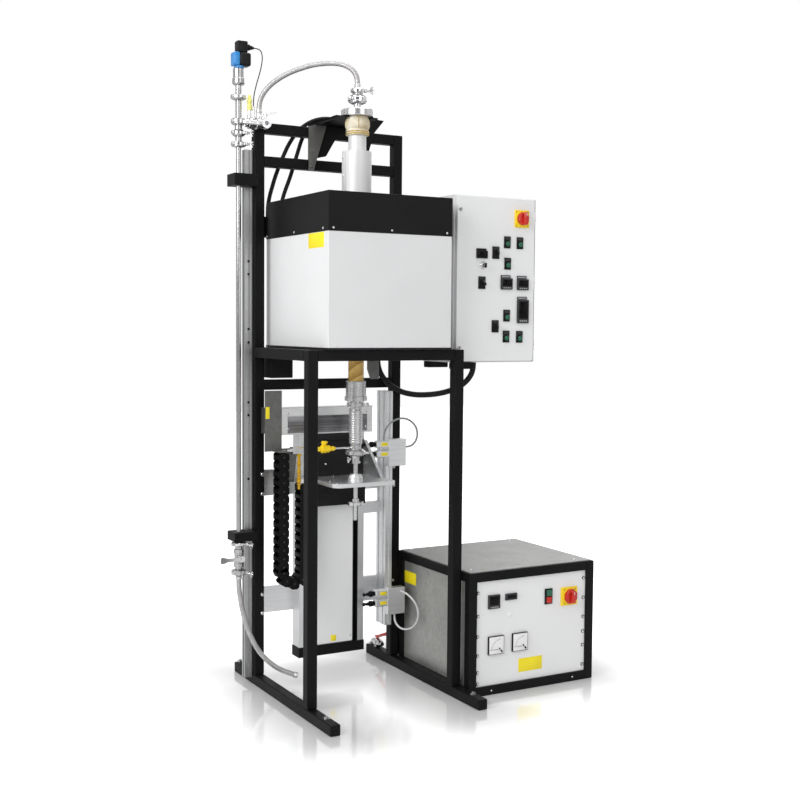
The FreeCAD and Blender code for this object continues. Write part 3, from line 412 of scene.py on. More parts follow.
# low and high colour, roughness, stretch of the lines, metallic share, depth of the lines, smudge, and the
# limit with the two strengths of painted shade on either side of it
metals = {
    "brightSteel": ((0.66, 0.66, 0.67), (0.82, 0.82, 0.83), 0.16, (240, 240, 60)),
    "pipeSteel": ((0.46, 0.46, 0.465), (0.58, 0.58, 0.59), 0.24, (60, 60, 4)),
    "shadedSteel": ((0.12, 0.12, 0.125), (0.26, 0.26, 0.27), 0.24, (4, 90, 300)),
    "turnedSteel": ((0.60, 0.60, 0.61), (0.78, 0.78, 0.79), 0.24, (30, 30, 900)),
    "drawnAluminium": ((0.74, 0.75, 0.76), (0.88, 0.885, 0.89), 0.38, (700, 700, 5)),
    # painted shade: the plate aluminium is painted darker where x is below 0 mm
    "plateAluminium": ((0.80, 0.81, 0.82), (0.88, 0.885, 0.89), 0.42, (5, 90, 90), 1, 0.05, 6,
                       ("X", -0.545, (0.6, 0.6, 0.6), (1, 1, 1))),
    "jacketSheet": ((0.72, 0.72, 0.725), (0.80, 0.80, 0.805), 0.5, (120, 120, 3), 0.35, 0.05),
    # painted shade: the brass is painted darker where x is below 157 mm
    "yellowBrass": ((0.92, 0.60, 0.004), (0.98, 0.70, 0.01), 0.32, (60, 60, 60), 0.15, 0.12, 6,
                    ("X", -0.388, (0.6, 0.5, 0.6), (1, 1, 1))),
    "hoseSteel": ((0.44, 0.43, 0.43), (0.54, 0.53, 0.53), 0.4, (40, 40, 40), 0.7),
    "goldRing": ((0.70, 0.44, 0.06), (0.90, 0.62, 0.12), 0.3, (20, 20, 600)),
}
# low and high colour, roughness, clear coat, texture's scale and depth, specular level
plastics = {
    "blackPlastic": ((0.006, 0.006, 0.0065), (0.010, 0.010, 0.0105), 0.36, 0, 1400, 0.1, 0.2),
    "chainNylon": ((0.0025, 0.0025, 0.0025), (0.005, 0.005, 0.005), 0.4, 0, 1400, 0.1, 0.12),
    "darkPlastic": ((0.034, 0.034, 0.036), (0.046, 0.046, 0.049), 0.4, 0, 1400, 0.1, 0.2),
    "screenGlass": ((0.002, 0.002, 0.0025), (0.004, 0.004, 0.0045), 0.12, 0, 1400, 0.1, 0.15),
    "keyGrey": ((0.3, 0.3, 0.31), (0.36, 0.36, 0.37), 0.45),
    "yellowPlastic": ((0.90, 0.62, 0.004), (0.96, 0.70, 0.008), 0.38, 0.1),
    "yellowLabel": ((0.90, 0.72, 0.008), (0.96, 0.80, 0.014), 0.42),
    "redPlastic": ((0.50, 0.014, 0.006), (0.62, 0.022, 0.009), 0.3, 0.15),
    "greenPlastic": ((0.006, 0.10, 0.05), (0.010, 0.15, 0.075), 0.26, 0.25),
    "meterFace": ((0.84, 0.84, 0.84), (0.88, 0.88, 0.88), 0.3, 0.6),
    "bluePlastic": ((0.012, 0.19, 0.52), (0.022, 0.26, 0.64), 0.3, 0.3),
    "limeCap": ((0.78, 0.74, 0.16), (0.88, 0.84, 0.24), 0.36, 0.2),
    "greyTube": ((0.24, 0.245, 0.25), (0.34, 0.345, 0.35), 0.32, 0.2),
    "whiteTube": ((0.62, 0.63, 0.64), (0.74, 0.75, 0.76), 0.28, 0.3),
    "blackRubber": ((0.010, 0.010, 0.011), (0.018, 0.018, 0.019), 0.5, 0, 700, 0.2, 0.2),
}
finishes = {
    # the last two numbers are the lid's height and its painted shade
    "zincSheet": zincFinish("zincSheet", (0.46, 0.46, 0.45), (0.54, 0.54, 0.53), 0.42, 0.4841, 0.36),
    "amberFilm": amberFinish(),
    "glassTape": wrapFinish(),
}
for maker, table in ((powderFinish, powders), (drawnFinish, metals), (plasticFinish, plastics)):
    for name, tones in table.items():
        finishes[name] = maker(name, *tones)

nodeFinish = {
    "blackPowder": "frame_tubes head_bracket black_brackets power_frame",
    "darkPowder": "furnace_band",
    "greyPowder": "furnace_casing control_cabinet",
    # these fronts take the lighter copy of the grey powder, painted light
    "lightPowder": "drive_cover power_front control_door",
    "pipeSteel": "vacuum_pipe fasteners",
    "brightSteel": "valve_cross port_lever valve_handle steel_fittings growth_rod key_switch",
    "turnedSteel": "tube_head lower_seal",
    "zincSheet": "sheet_brackets power_panels",
    "drawnAluminium": "drive_column",
    "plateAluminium": "drive_beams carriage valve_blocks",
    "jacketSheet": "tube_jacket",
    "amberFilm": "growth_tube",
    "glassTape": "neck_wrap",
    "fibreBoard": "insulation",
    "darkCeramic": "heating_elements",
    "blackPlastic": "gauge_head door_instruments power_instruments selector_1 selector_2 selector_3",
    "chainNylon": "chain_fixed chain_bend chain_moving",
    "yellowBrass": "gas_valve",
    "redPlastic": "water_lever door_switch_knob power_switch_knob stop_button",
    "greenPlastic": "button_1 button_2 button_3 button_4 button_5 button_6 start_button",
}
for finish, names in nodeFinish.items():
    for name in names.split():
        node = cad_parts[name]
        node.data.materials.clear()
        node.data.materials.append(finishes[finish])
print("finishes made:", len(finishes))


# cords first: the same routes as the solids

def routeCurve(name, points, radius, resolution=16):
    curve = bpy.data.curves.new(name, "CURVE")
    curve.dimensions = "3D"
    curve.resolution_u = resolution
    line = curve.splines.new("NURBS")
    line.points.add(len(points) - 1)
    for spot, point in zip(line.points, points):
        spot.co = (*at(*point), 1)
    line.order_u = 3
    line.use_endpoint_u = True
    curve.bevel_depth = radius / 1000
    curve.bevel_resolution = 5
    curve.use_fill_caps = True
    return placeObject(name, curve)


def routeLine(points):
    # the spline's own points, read from the curve with no bevel
    guide = routeCurve("guideLine", points, 0, 24)
    bpy.context.view_layer.update()
    mesh = bpy.data.meshes.new_from_object(guide)
    line = [v.co.copy() for v in mesh.vertices]
    bpy.data.objects.remove(guide)
    bpy.data.meshes.remove(mesh)
    return line


def evenSteps(line, step):
    lengths = [0.0]
    for first, second in zip(line, line[1:]):
        lengths.append(lengths[-1] + (second - first).length)
    total = lengths[-1]
    count = max(2, round(total / step))
    spots, k = [], 0
    for i in range(count + 1):
        want = total * i / count
        while k < len(line) - 2 and lengths[k + 1] < want:
            k += 1
        share = (want - lengths[k]) / max(1e-9, lengths[k + 1] - lengths[k])
        spots.append(line[k].lerp(line[k + 1], share))
    return spots


def ribbedTube(name, points, radius, pitch, depth, finish, sides=20, stepsPerRib=4):
    spots = evenSteps(routeLine(points), pitch / stepsPerRib / 1000)
    bm = bmesh.new()
    across = Vector((0, 1, 0))
    rings = []
    for i, spot in enumerate(spots):
        along = (spots[min(i + 1, len(spots) - 1)] - spots[max(i - 1, 0)]).normalized()
        across = (across - along * across.dot(along)).normalized()
        other = along.cross(across)
        wide = (radius - depth * (0.5 - 0.5 * math.cos(2 * math.pi * i / stepsPerRib))) / 1000
        ring = []
        for k in range(sides):
            turn = 2 * math.pi * k / sides
            ring.append(bm.verts.new(spot + wide * (math.cos(turn) * across + math.sin(turn) * other)))
        rings.append(ring)
    for lower, upper in zip(rings, rings[1:]):
        for k in range(sides):
            bm.faces.new((lower[k], lower[(k + 1) % sides], upper[(k + 1) % sides], upper[k]))
    bm.faces.new(rings[0][::-1])
    bm.faces.new(rings[-1])
    return meshPiece(name, bm, [finish], 60), spots


def meshPiece(name, bm, materials, sharp=35):
    bmesh.ops.recalc_face_normals(bm, faces=bm.faces)
    mesh = bpy.data.meshes.new(name)
    bm.to_mesh(mesh)
    bm.free()
    for label in materials:
        mesh.materials.append(finishes[label])
    mesh.shade_smooth()
    mesh.set_sharp_from_angle(angle=math.radians(sharp))
    return placeObject(name, mesh)


def settle(piece, body, stands=()):
    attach(piece, body)
    if stands:
        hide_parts(*stands)
    return piece


hoseLook = {
    "radius": 10, "finish": "hoseSteel", "slot": "metal_hose", "stiffness": "medium",
    "rib": (3.6, 0.55),  # pitch and depth
}
rubberLook = {"finish": "blackRubber", "slot": "black_rubber"}
cordRoutes = {
    "topHose": {**hoseLook, "node": "top_hose", "length": 0.536, "lay": "hanging",
        "points": [(324, 453, 2322), (324, 453, 2353), (317, 459, 2378), (304, 470, 2397),
                   (286, 485, 2410), (264, 503, 2417), (238, 522, 2419), (210, 541, 2417),
                   (181, 561, 2412), (152, 579, 2402), (122, 596, 2390), (94, 612, 2375), (68, 625, 2357),
                   (45, 636, 2337), (26, 645, 2314), (12, 651, 2288), (5, 654, 2259), (5, 654, 2228)]},
    "lowerHose": {**hoseLook, "node": "lower_hose", "length": 0.512, "lay": "loose",
        "points": [(-72, 670, 449), (-72, 670, 417), (-70, 669, 385), (-66, 667, 353), (-61, 665, 321),
                   (-54, 662, 289), (-46, 660, 258), (-36, 657, 227), (-24, 654, 197), (-10, 651, 168),
                   (6, 648, 141), (25, 644, 117), (47, 640, 95), (71, 635, 75), (98, 630, 59),
                   (126, 625, 46), (156, 619, 34)]},
    "cabinetConduit": {**rubberLook, "node": "conduit", "radius": 12, "length": 0.571,
        "lay": "hanging", "rib": (5.5, 0.9), "stiffness": "stiff",
        "points": [(549, 696, 1295), (549, 696, 1272), (550, 690, 1250), (552, 679, 1230),
                   (557, 666, 1212), (567, 653, 1194), (583, 642, 1177), (605, 634, 1162),
                   (631, 628, 1150), (660, 621, 1143), (690, 613, 1139), (720, 602, 1139),
                   (749, 588, 1141), (776, 571, 1146), (801, 552, 1154), (823, 532, 1166),
                   (843, 512, 1181), (859, 494, 1202), (870, 480, 1228), (874, 474, 1255),
                   (874, 474, 1283)]},
    "gaugeCable": {**rubberLook, "node": "gauge_cable", "radius": 2, "length": 0.252, "lay": "hanging",
        "stiffness": "limp",
        "points": [(-10, 670, 2474), (9, 670, 2474), (20, 669, 2465), (24, 668, 2449), (23, 666, 2430),
                   (19, 665, 2408), (13, 663, 2387), (6, 661, 2366), (-1, 659, 2346), (-7, 657, 2327),
                   (-12, 656, 2308), (-16, 655, 2290), (-18, 654, 2271), (-18, 654, 2252)]},
    "headCableLeft": {**rubberLook, "node": "head_cable_left", "radius": 8, "length": 0.530,
        "lay": "hanging", "stiffness": "stiff",
        "points": [(345, 706, 2244), (315, 706, 2244), (287, 710, 2240), (260, 717, 2231),
                   (236, 725, 2217), (214, 732, 2199), (195, 737, 2177), (179, 741, 2153),
                   (164, 743, 2127), (151, 743, 2100), (139, 744, 2073), (127, 744, 2046),
                   (117, 746, 2018), (107, 746, 1990), (99, 747, 1962), (91, 749, 1934), (85, 749, 1905),
                   (82, 750, 1876), (82, 750, 1846)]},
    "headCableRight": {**rubberLook, "node": "head_cable_right", "radius": 8, "length": 0.480,
        "lay": "hanging", "stiffness": "stiff",
        "points": [(345, 712, 2220), (316, 712, 2220), (290, 718, 2219), (267, 728, 2213),
                   (248, 737, 2199), (234, 743, 2178), (224, 748, 2152), (216, 751, 2124),
                   (208, 753, 2096), (200, 756, 2069), (192, 757, 2042), (183, 757, 2015),
                   (173, 757, 1988), (162, 757, 1961), (152, 757, 1933), (144, 756, 1905),
                   (138, 756, 1876), (138, 756, 1846)]},
    "upperLoop": {"node": "upper_loop", "radius": 4, "length": 0.332, "lay": "loose",
        "finish": "greyTube", "slot": "grey_tube", "stiffness": "medium",
        "points": [(540, 621, 956), (540, 621, 980), (546, 616, 1003), (557, 609, 1022), (572, 600, 1037),
                   (591, 592, 1045), (612, 586, 1047), (633, 583, 1041), (654, 584, 1028),
                   (672, 588, 1009), (683, 595, 986), (686, 603, 961), (677, 610, 939), (659, 614, 926),
                   (635, 614, 926)]},
    "lowerLoop": {"node": "lower_loop", "radius": 4, "length": 0.343, "lay": "loose",
        "finish": "whiteTube", "slot": "white_tube", "stiffness": "medium",
        "points": [(620, 604, 328), (620, 580, 328), (624, 557, 322), (631, 539, 310), (638, 524, 294),
                   (645, 516, 273), (648, 514, 250), (648, 518, 227), (644, 528, 205), (637, 543, 188),
                   (628, 561, 178), (618, 581, 174), (608, 599, 179), (600, 614, 192), (596, 622, 212),
                   (596, 622, 236)]},
}
for name, facts in cordRoutes.items():
    path = None
    if "rib" in facts:
        piece, path = ribbedTube(name, facts["points"], facts["radius"], *facts["rib"], facts["finish"])
    else:
        piece = routeCurve(name, facts["points"], facts["radius"])
        piece.data.materials.append(finishes[facts["finish"]])
    settle(piece, "frame", [facts["node"]])
print("cords laid:", len(cordRoutes))

# shapes that the pieces are put together from, in millimetres

def pour(target, part, number):
    for face in part.faces:
        face.material_index = number
    mesh = bpy.data.meshes.new("pour")
    part.to_mesh(mesh)
    part.free()
    target.from_mesh(mesh)
    bpy.data.meshes.remove(mesh)


def bevelEdges(part, soft, steps):
    bmesh.ops.bevel(part, geom=part.edges[:], offset=soft / 1000, segments=steps, profile=0.5, affect="EDGES")


def addBlock(target, number, corner, size, soft=1.0, turn=None, steps=2):
    part = bmesh.new()
    bmesh.ops.create_cube(part, size=1)
    bmesh.ops.scale(part, vec=Vector(size) / 1000, verts=part.verts)
    if soft:
        bevelEdges(part, soft, steps)
    if turn:
        bmesh.ops.rotate(part, cent=(0, 0, 0), matrix=turn.to_3x3(), verts=part.verts)
    middle = at(corner[0] + size[0] / 2, corner[1] + size[1] / 2, corner[2] + size[2] / 2)
    bmesh.ops.translate(part, vec=middle, verts=part.verts)
    pour(target, part, number)


def addTurned(target, number, place, axis, profile, sides=40, turn=None):
    # profile is radius and height pairs; a profile that ends where it starts is a ring
    part = bmesh.new()
    aim = Vector(compass[axis] if isinstance(axis, str) else axis)
    lay = Vector((0, 0, 1)).rotation_difference(aim).to_matrix()
    rings = []
    for radius, height in profile:
        ring = []
        for k in range(sides if radius else 1):
            angle = 2 * math.pi * k / sides
            spot = Vector((radius * math.cos(angle), radius * math.sin(angle), height))
            ring.append(part.verts.new(lay @ spot / 1000))
        rings.append(ring)
    for lower, upper in zip(rings, rings[1:]):
        for k in range(max(len(lower), len(upper))):
            if len(lower) == 1 and len(upper) == 1:
                break
            a, b = lower[k % len(lower)], lower[(k + 1) % len(lower)]
            c, d = upper[(k + 1) % len(upper)], upper[k % len(upper)]
            part.faces.new([v for i, v in enumerate((a, b, c, d)) if v not in (a, b, c, d)[:i]])
    bmesh.ops.remove_doubles(part, verts=part.verts, dist=1e-7)
    if turn:
        bmesh.ops.rotate(part, cent=(0, 0, 0), matrix=turn.to_3x3(), verts=part.verts)
    bmesh.ops.translate(part, vec=at(*place), verts=part.verts)
    pour(target, part, number)


def addRod(target, number, start, end, radius, sides=12):
    first, second = at(*start), at(*end)
    length = (second - first).length * 1000
    ease = min(radius * 0.3, length * 0.2)
    addTurned(target, number, start, tuple((second - first).normalized()),
              [(0, 0), (radius - ease, 0), (radius, ease), (radius, length - ease), (radius - ease, length),
               (0, length)], sides)


def addPrism(target, number, plane, outline, low, high, soft=0.0):
    # outline in the plane's two directions, xz or yz, and low and high along the third
    part = bmesh.new()
    under, over = ([part.verts.new(at(*((u, w, v) if plane == "xz" else (w, u, v)))) for u, v in outline]
                   for w in (low, high))
    part.faces.new(under)
    part.faces.new(over[::-1])
    for k in range(len(outline)):
        j = (k + 1) % len(outline)
        part.faces.new((under[k], over[k], over[j], under[j]))
    bmesh.ops.recalc_face_normals(part, faces=part.faces)
    if soft:
        bevelEdges(part, soft, 2)
    pour(target, part, number)


def arc(cx, cz, radius, start, end, steps):
    turns = [math.radians(start + (end - start) * k / steps) for k in range(steps + 1)]
    return [(cx + radius * math.cos(turn), cz + radius * math.sin(turn)) for turn in turns]


def cap(radius, wall, top, height):
    # profile of a disc whose upper edge is broken
    return [(0, 0), (radius, 0), (radius, wall), (top, height), (0, height)]


def rib(inner, half, outer, flat, crest=None):
    # profile of a ring that is alike above and below its middle
    peak = [(crest, 0)] if crest else []
    return [(inner, -half), (outer, -flat), *peak, (outer, flat), (inner, half), (inner, -half)]


# small screws: one geometry nodes tree for every row of them

def makeScrewHead():
    bm = bmesh.new()
    profile = [(0, -0.3), (1, -0.3), (1, 0.16), (0.93, 0.34), (0.7, 0.52), (0.46, 0.56), (0.42, 0.5),
               (0.4, 0.2), (0, 0.2)]
    addTurned(bm, 0, (545, 450, 0), "z", profile, 14)
    for vert in bm.verts:
        vert.co = vert.co * 1000
    return meshPiece("screwHead", bm, [], 40)


def startTree(name, inputs, output):
    tree = bpy.data.node_groups.new(name, "GeometryNodeTree")
    for label, kind in inputs.items():
        tree.interface.new_socket(name=label, in_out="INPUT", socket_type="NodeSocket" + kind)
    tree.interface.new_socket(name=output, in_out="OUTPUT", socket_type="NodeSocketGeometry")
    return tree, tree.nodes.new("NodeGroupInput").outputs, tree.nodes.new("NodeGroupOutput").inputs


def spreadOver(tree, points, piece, facing, axis, scale=(1, 1, 1)):
    # copies of an object on points, each with one axis turned to its facing
    aim = placeNode(tree, "FunctionNodeAlignRotationToVector", {"Vector": facing}, axis=axis)
    shape = placeNode(tree, "GeometryNodeObjectInfo", {"Object": piece}).outputs["Geometry"]
    copies = placeNode(tree, "GeometryNodeInstanceOnPoints", {
        "Points": points, "Instance": shape, "Rotation": aim.outputs["Rotation"], "Scale": scale})
    real = placeNode(tree, "GeometryNodeRealizeInstances", {"Geometry": copies.outputs["Instances"]})
    return real.outputs["Geometry"]


def makeScrewTree():
    inputs = {"Spots": "Geometry", "Head": "Object", "Radius": "Float", "Finish": "Material"}
    tree, inlet, outlet = startTree("screwRow", inputs, "Screws")
    facing = placeNode(tree, "GeometryNodeInputNamedAttribute", {"Name": "facing"}, data_type="FLOAT_VECTOR")
    heads = spreadOver(tree, inlet["Spots"], inlet["Head"], facing.outputs["Attribute"], "Z", inlet["Radius"])
    paint = placeNode(tree, "GeometryNodeSetMaterial", {"Geometry": heads, "Material": inlet["Finish"]})
    tree.links.new(paint.outputs["Geometry"], outlet["Screws"])
    return tree


def socketOf(tree, label):
    return next(item.identifier for item in tree.interface.items_tree
                if item.item_type == "SOCKET" and item.in_out == "INPUT" and item.name == label)


def growMesh(name, source, tree, values):
    # runs the tree on the source object and keeps the result as a plain mesh
    modifier = source.modifiers.new("grow", "NODES")
    modifier.node_group = tree
    for label, value in values.items():
        modifier[socketOf(tree, label)] = value
    bpy.context.view_layer.update()
    graph = bpy.context.evaluated_depsgraph_get()
    mesh = bpy.data.meshes.new_from_object(source.evaluated_get(graph))
    source.modifiers.clear()
    mesh.name = name
    mesh.shade_smooth()
    mesh.set_sharp_from_angle(angle=math.radians(40))
    made = placeObject(name, mesh)
    old = source.data
    bpy.data.objects.remove(source)
    if old.users == 0:
        (bpy.data.meshes if isinstance(old, bpy.types.Mesh) else bpy.data.curves).remove(old)
    return made


screwHead = makeScrewHead()
screwTree = makeScrewTree()


def screwRow(name, spots, radius, finish, body):
    # spots are x, y, z and the direction that the head faces
    mesh = bpy.data.meshes.new("screwSpots")
    mesh.from_pydata([tuple(at(x, y, z)) for x, y, z, _ in spots], [], [])
    facing = mesh.attributes.new("facing", "FLOAT_VECTOR", "POINT")
    facing.data.foreach_set("vector", [v for s in spots for v in compass[s[3]]])
    values = {"Head": screwHead, "Radius": radius / 1000, "Finish": finishes[finish]}
    return settle(growMesh(name, placeObject("screwSpots", mesh), screwTree, values), body)


# furnace

furnaceBits = {
    "left": 69, "right": 580, "front": 174, "back": 732, "proud": 1.5,
    "bandScrew": 4.2, "bandLevel": 1768,
    "bandSides": {"-x": (721, 465, 216), "-y": (88, 324, 558), "x": (216, 465, 700), "y": (130, 324, 540)},
    "casingScrew": 3.2, "casingLevel": 1350,
    "casingSides": {"-x": (232, 450, 670), "-y": (100, 324, 548), "x": (232, 450, 670)},
    # the black band at the casing's bottom is painted shadow for the gap under it
    "label": ((68.5, 211, 1701), (0.5, 130, 54)), "shadowGap": ((67.9, 172.9, 1335.1), (513.2, 560.2, 8)),
    "collar": (324, 453, 1899.3),
    "collarRing": [(56, 0), (74, 0), (74, 1.2), (71, 2.2), (58, 2.2), (56, 1.6), (56, 0)],
}


def sideSpots(sides, level, proud):
    # places of screws on the casing's sides, each row listed under the way that it faces
    s = furnaceBits
    faces = {"-x": s["left"] - proud, "x": s["right"] + proud,
             "-y": s["front"] - proud, "y": s["back"] + proud}
    return [(faces[way], k, level, way) if "x" in way else (k, faces[way], level, way)
            for way, row in sides.items() for k in row]


def makeFurnaceBits():
    s = furnaceBits
    spots = sideSpots(s["bandSides"], s["bandLevel"], s["proud"])
    screwRow("bandScrews", spots, s["bandScrew"], "brightSteel", "frame")
    spots = sideSpots(s["casingSides"], s["casingLevel"], 0)
    screwRow("casingScrews", spots, s["casingScrew"], "greyPowder", "frame")
    bm = bmesh.new()
    addBlock(bm, 0, *s["label"], 0.2)
    settle(meshPiece("casingLabel", bm, ["yellowLabel"]), "frame")
    # painted shadow: a black band round the casing's bottom stands in for the shadow gap under it
    bm = bmesh.new()
    addBlock(bm, 0, *s["shadowGap"], 0.5)
    settle(meshPiece("casingFoot", bm, ["blackRubber"]), "frame")
    bm = bmesh.new()
    addTurned(bm, 0, s["collar"], "z", s["collarRing"], 64)
    settle(meshPiece("bandCollar", bm, ["darkPowder"]), "frame")


# process tube: jacket seam, taped neck, clamps

tubeBits = {
    "x": 324, "y": 453, "low": 1901, "high": 2081,
    "seamTurn": 182, "seamOut": 56, "seam": (10, 22), "studOut": 60.5, "studs": (1925, 1990, 2058),
    "bead": 7, "tapeLow": 2142.3, "tapeIn": 30.2,
    "tape": [(40.5, 2165), (44, 2168), (46.5, 2175), (47.6, 2183), (47.2, 2192), (45.6, 2200), (42, 2208),
             (40, 2213.4)],
    "rings": ((2147.5, 44.4), (2155.5, 44.6)),
    "endTurn": 248, "endLow": 2163, "endStep": 5.2, "endOut": 46.2, "endSwell": 2.2,
    "headRings": ((2279, 30, 15, 7), (2312, 21, 12, 6)), "sealRings": ((1118, 27, 16, 8), (932, 33, 14, 7)),
    "headNuts": [((348, 441, 2312), (0.9, -0.45, 0.1), 34), ((291, 436, 2279), (-0.7, -0.7, 0), 22)],
    "headEars": [((286, 424, 2272), (12, 16, 14)), ((346, 432, 2306), (10, 14, 12)),
                 ((352, 462, 2272), (12, 16, 14))],
    "sealNuts": [((298, 427, 1118), (-0.75, -0.6, -0.15), 34), ((290, 424, 914), (-0.8, -0.5, -0.2), 26)],
    "sealEars": [((288, 420, 1111), (14, 16, 14)), ((350, 430, 1110), (20, 15, 15)),
                 ((352, 428, 927), (26, 10, 8)), ((284, 424, 926), (14, 18, 12))],
    "headBolts": (8, 22.5, 50, 2240), "sealBolts": (6, 0, 33.5, 1133.6), "bellows": range(976, 1092, 9),
}


def clampRing(bm, number, centre, radius, height, thick, axis="z"):
    # the two halves of a flange clamp have a groove between them
    half = height / 2
    addTurned(bm, number, (centre[0], centre[1], centre[2] - half), axis, [
        (radius - 3, 0), (radius + thick - 2, 0), (radius + thick, 2), (radius + thick, height - 2),
        (radius + thick - 2, height), (radius - 3, height), (radius - 3, 0)], 48)


def wingNut(bm, number, place, aim, size):
    # a stem along aim with two leaning wings
    direction = Vector(aim).normalized()
    start = Vector(place)
    tip = start + direction * size
    addRod(bm, number, start, tip, size * 0.11)
    addRod(bm, number, start + direction * size * 0.35, start + direction * size * 0.62, size * 0.2)
    side = direction.cross(Vector((0, 0, 1)))
    if side.length < 0.1:
        side = Vector((0, 1, 0))
    rise = side.normalized().cross(direction)
    for way in (1, -1):
        base = start + direction * size * 0.5
        end = base + direction * size * 0.42 + rise * way * size * 0.4
        addRod(bm, number, base, end, size * 0.12, 10)


def makeClamps(end, finish, axis, profile, bellows=()):
    # clamp rings around the tube, their wing nuts and ears, a circle of bolts and ribs of bellows
    s = tubeBits
    bm = bmesh.new()
    for z, radius, high, thick in s[end + "Rings"]:
        clampRing(bm, 0, (s["x"], s["y"], z), radius, high, thick)
    for place, aim, size in s[end + "Nuts"]:
        wingNut(bm, 0, place, aim, size)
    for corner, size in s[end + "Ears"]:
        addBlock(bm, 0, corner, size, 2)
    count, first, out, z = s[end + "Bolts"]
    for k in range(count):
        angle = math.radians(first + 360 * k / count)
        place = (s["x"] + out * math.cos(angle), s["y"] + out * math.sin(angle), z)
        addTurned(bm, 0, place, axis, profile, 12)
    for z in bellows:
        addTurned(bm, 0, (s["x"], s["y"], z), "z", rib(25.5, 1.6, 27, 1.2, 27.4), 40)
    settle(meshPiece(end + "Clamps", bm, [finish]), "frame")


def makeTubeBits():
    s = tubeBits
    bm = bmesh.new()
    turn = math.radians(s["seamTurn"])  # the seam is at the left
    cx, sy = math.cos(turn), math.sin(turn)
    thick, wide = s["seam"]
    addBlock(bm, 0, (s["x"] + cx * s["seamOut"] - thick / 2, s["y"] + sy * s["seamOut"] - wide / 2, s["low"]),
             (thick, wide, s["high"] - s["low"]), 1.5, Matrix.Rotation(turn, 4, "Z"))
    for z in s["studs"]:
        addTurned(bm, 1, (s["x"] + cx * s["studOut"], s["y"] + sy * s["studOut"], z), (cx, sy, 0),
                  cap(4.5, 2, 3, 3.4), 16)
    settle(meshPiece("jacketSeam", bm, ["jacketSheet", "brightSteel"]), "frame")

    bm = bmesh.new()
    profile = [(s["tapeIn"], s["tapeLow"])]
    for k in range(3):
        z = s["tapeLow"] + s["bead"] * k
        profile += [(40.5, z), (43.5, z + 2), (43.5, z + 5), (40.5, z + 7)]
    profile += [*s["tape"], (s["tapeIn"], s["tape"][-1][1]), (s["tapeIn"], s["tapeLow"])]
    addTurned(bm, 0, (s["x"], s["y"], 0), "z", profile, 56)
    settle(meshPiece("neckTape", bm, ["glassTape"]), "frame", ["neck_wrap"])
    bm = bmesh.new()
    for z, radius in s["rings"]:
        addTurned(bm, 0, (s["x"], s["y"], z), "z", rib(radius - 2, 1.6, radius, 1.6, radius + 0.8), 56)
    tapeEnd = math.radians(s["endTurn"])
    for k in range(9):
        z = s["endLow"] + s["endStep"] * k
        rim = s["endOut"] + s["endSwell"] * math.sin(math.pi * (k + 1) / 10)
        first, last = ((s["x"] + out * math.cos(tapeEnd), s["y"] + out * math.sin(tapeEnd), high)
                       for out, high in ((rim, z), (rim + 0.4, z + s["endStep"] + 0.2)))
        addRod(bm, 0, first, last, 1.0, 8)
    settle(meshPiece("neckRings", bm, ["goldRing"]), "frame")

    makeClamps("head", "brightSteel", "z", cap(4.2, 2.4, 3.4, 3.4))
    makeClamps("seal", "turnedSteel", "-z", cap(4, 3, 3, 4), s["bellows"])


# vacuum column: clamps at its flanges, gauge with its plug, purge cap

columnBits = {
    "x": -72, "y": 670, "flanges": ((573, 22), (462, 22), (2107, 22), (2149, 20), (2192, 22.5), (2284, 24)),
    "winged": 4,  # flanges whose clamps show their wing nuts
    "bellows": range(2212, 2268, 6), "gaugeLow": 2391, "plug": 2474, "purge": (-34, 654, 2236.4),
    "plugTurns": [(0, 0), (11, 0), (11, 12), (8.5, 14), (8.5, 17), (7.5, 19), (7.5, 22), (5, 25), (5, 29),
                  (2.4, 30), (0, 30)],
    "purgeTurns": [(0, 0), (8.6, 0), (9.2, 2), (9.2, 18), (8.4, 22), (6.5, 25), (9.5, 28), (10.4, 33),
                   (9.6, 38), (6.8, 41), (6.2, 52), (5, 56.6), (0, 57.2)],
}


def makeColumnBits():
    s = columnBits
    x, y, plug = s["x"], s["y"], s["plug"]
    bm = bmesh.new()
    for i, (z, radius) in enumerate(s["flanges"]):
        clampRing(bm, 0, (x, y, z), radius, 13, 6.5)
        addBlock(bm, 0, (x - 34, y - 20, z - 6), (11, 14, 12), 2)
        if i < s["winged"]:
            addBlock(bm, 0, (x + 18, y - 28, z - 6), (12, 12, 12), 2)
            wingNut(bm, 0, (x + 24, y - 28, z), (0.55, -0.8, -0.2), 28)
    for z in s["bellows"]:
        addTurned(bm, 0, (x, y, z), "z", rib(10, 1.3, 13, 1, 13.4), 32)
    settle(meshPiece("columnClamps", bm, ["brightSteel"]), "frame")

    bm = bmesh.new()
    addTurned(bm, 0, (x + 2, y, s["gaugeLow"]), "z", [(0, 0), (17, 0), (19, 1.5), (19, 9), (0, 9)], 40)
    addBlock(bm, 0, (x - 24, y - 22, 2400), (22, 44, 50), 4, None, 3)
    addBlock(bm, 1, (x - 2, y - 23, 2400), (46, 46, 51), 9, None, 4)
    addBlock(bm, 1, (x - 10, y - 18, 2451), (42, 36, 43), 5, None, 3)
    addTurned(bm, 1, (x + 32, y, plug), "x", s["plugTurns"], 28)
    for k in range(3):
        addTurned(bm, 1, (x + 34 + 4 * k, y, plug), "x", rib(10, 1.1, 11.8, 0.8), 28)
    addTurned(bm, 2, (x + 11, y - 10, 2494), "z", cap(4, 0.6, 3, 1), 16)
    gauge = meshPiece("gaugeHead", bm, ["bluePlastic", "blackPlastic", "brightSteel"])
    settle(gauge, "frame", ["gauge_head"])

    bm = bmesh.new()
    addTurned(bm, 0, s["purge"], "z", s["purgeTurns"], 32)
    settle(meshPiece("purgeCap", bm, ["limeCap"]), "frame")


makeFurnaceBits()
makeTubeBits()
makeColumnBits()
print("furnace, tube and column details made")


# energy chain: links set along a line by one geometry nodes tree

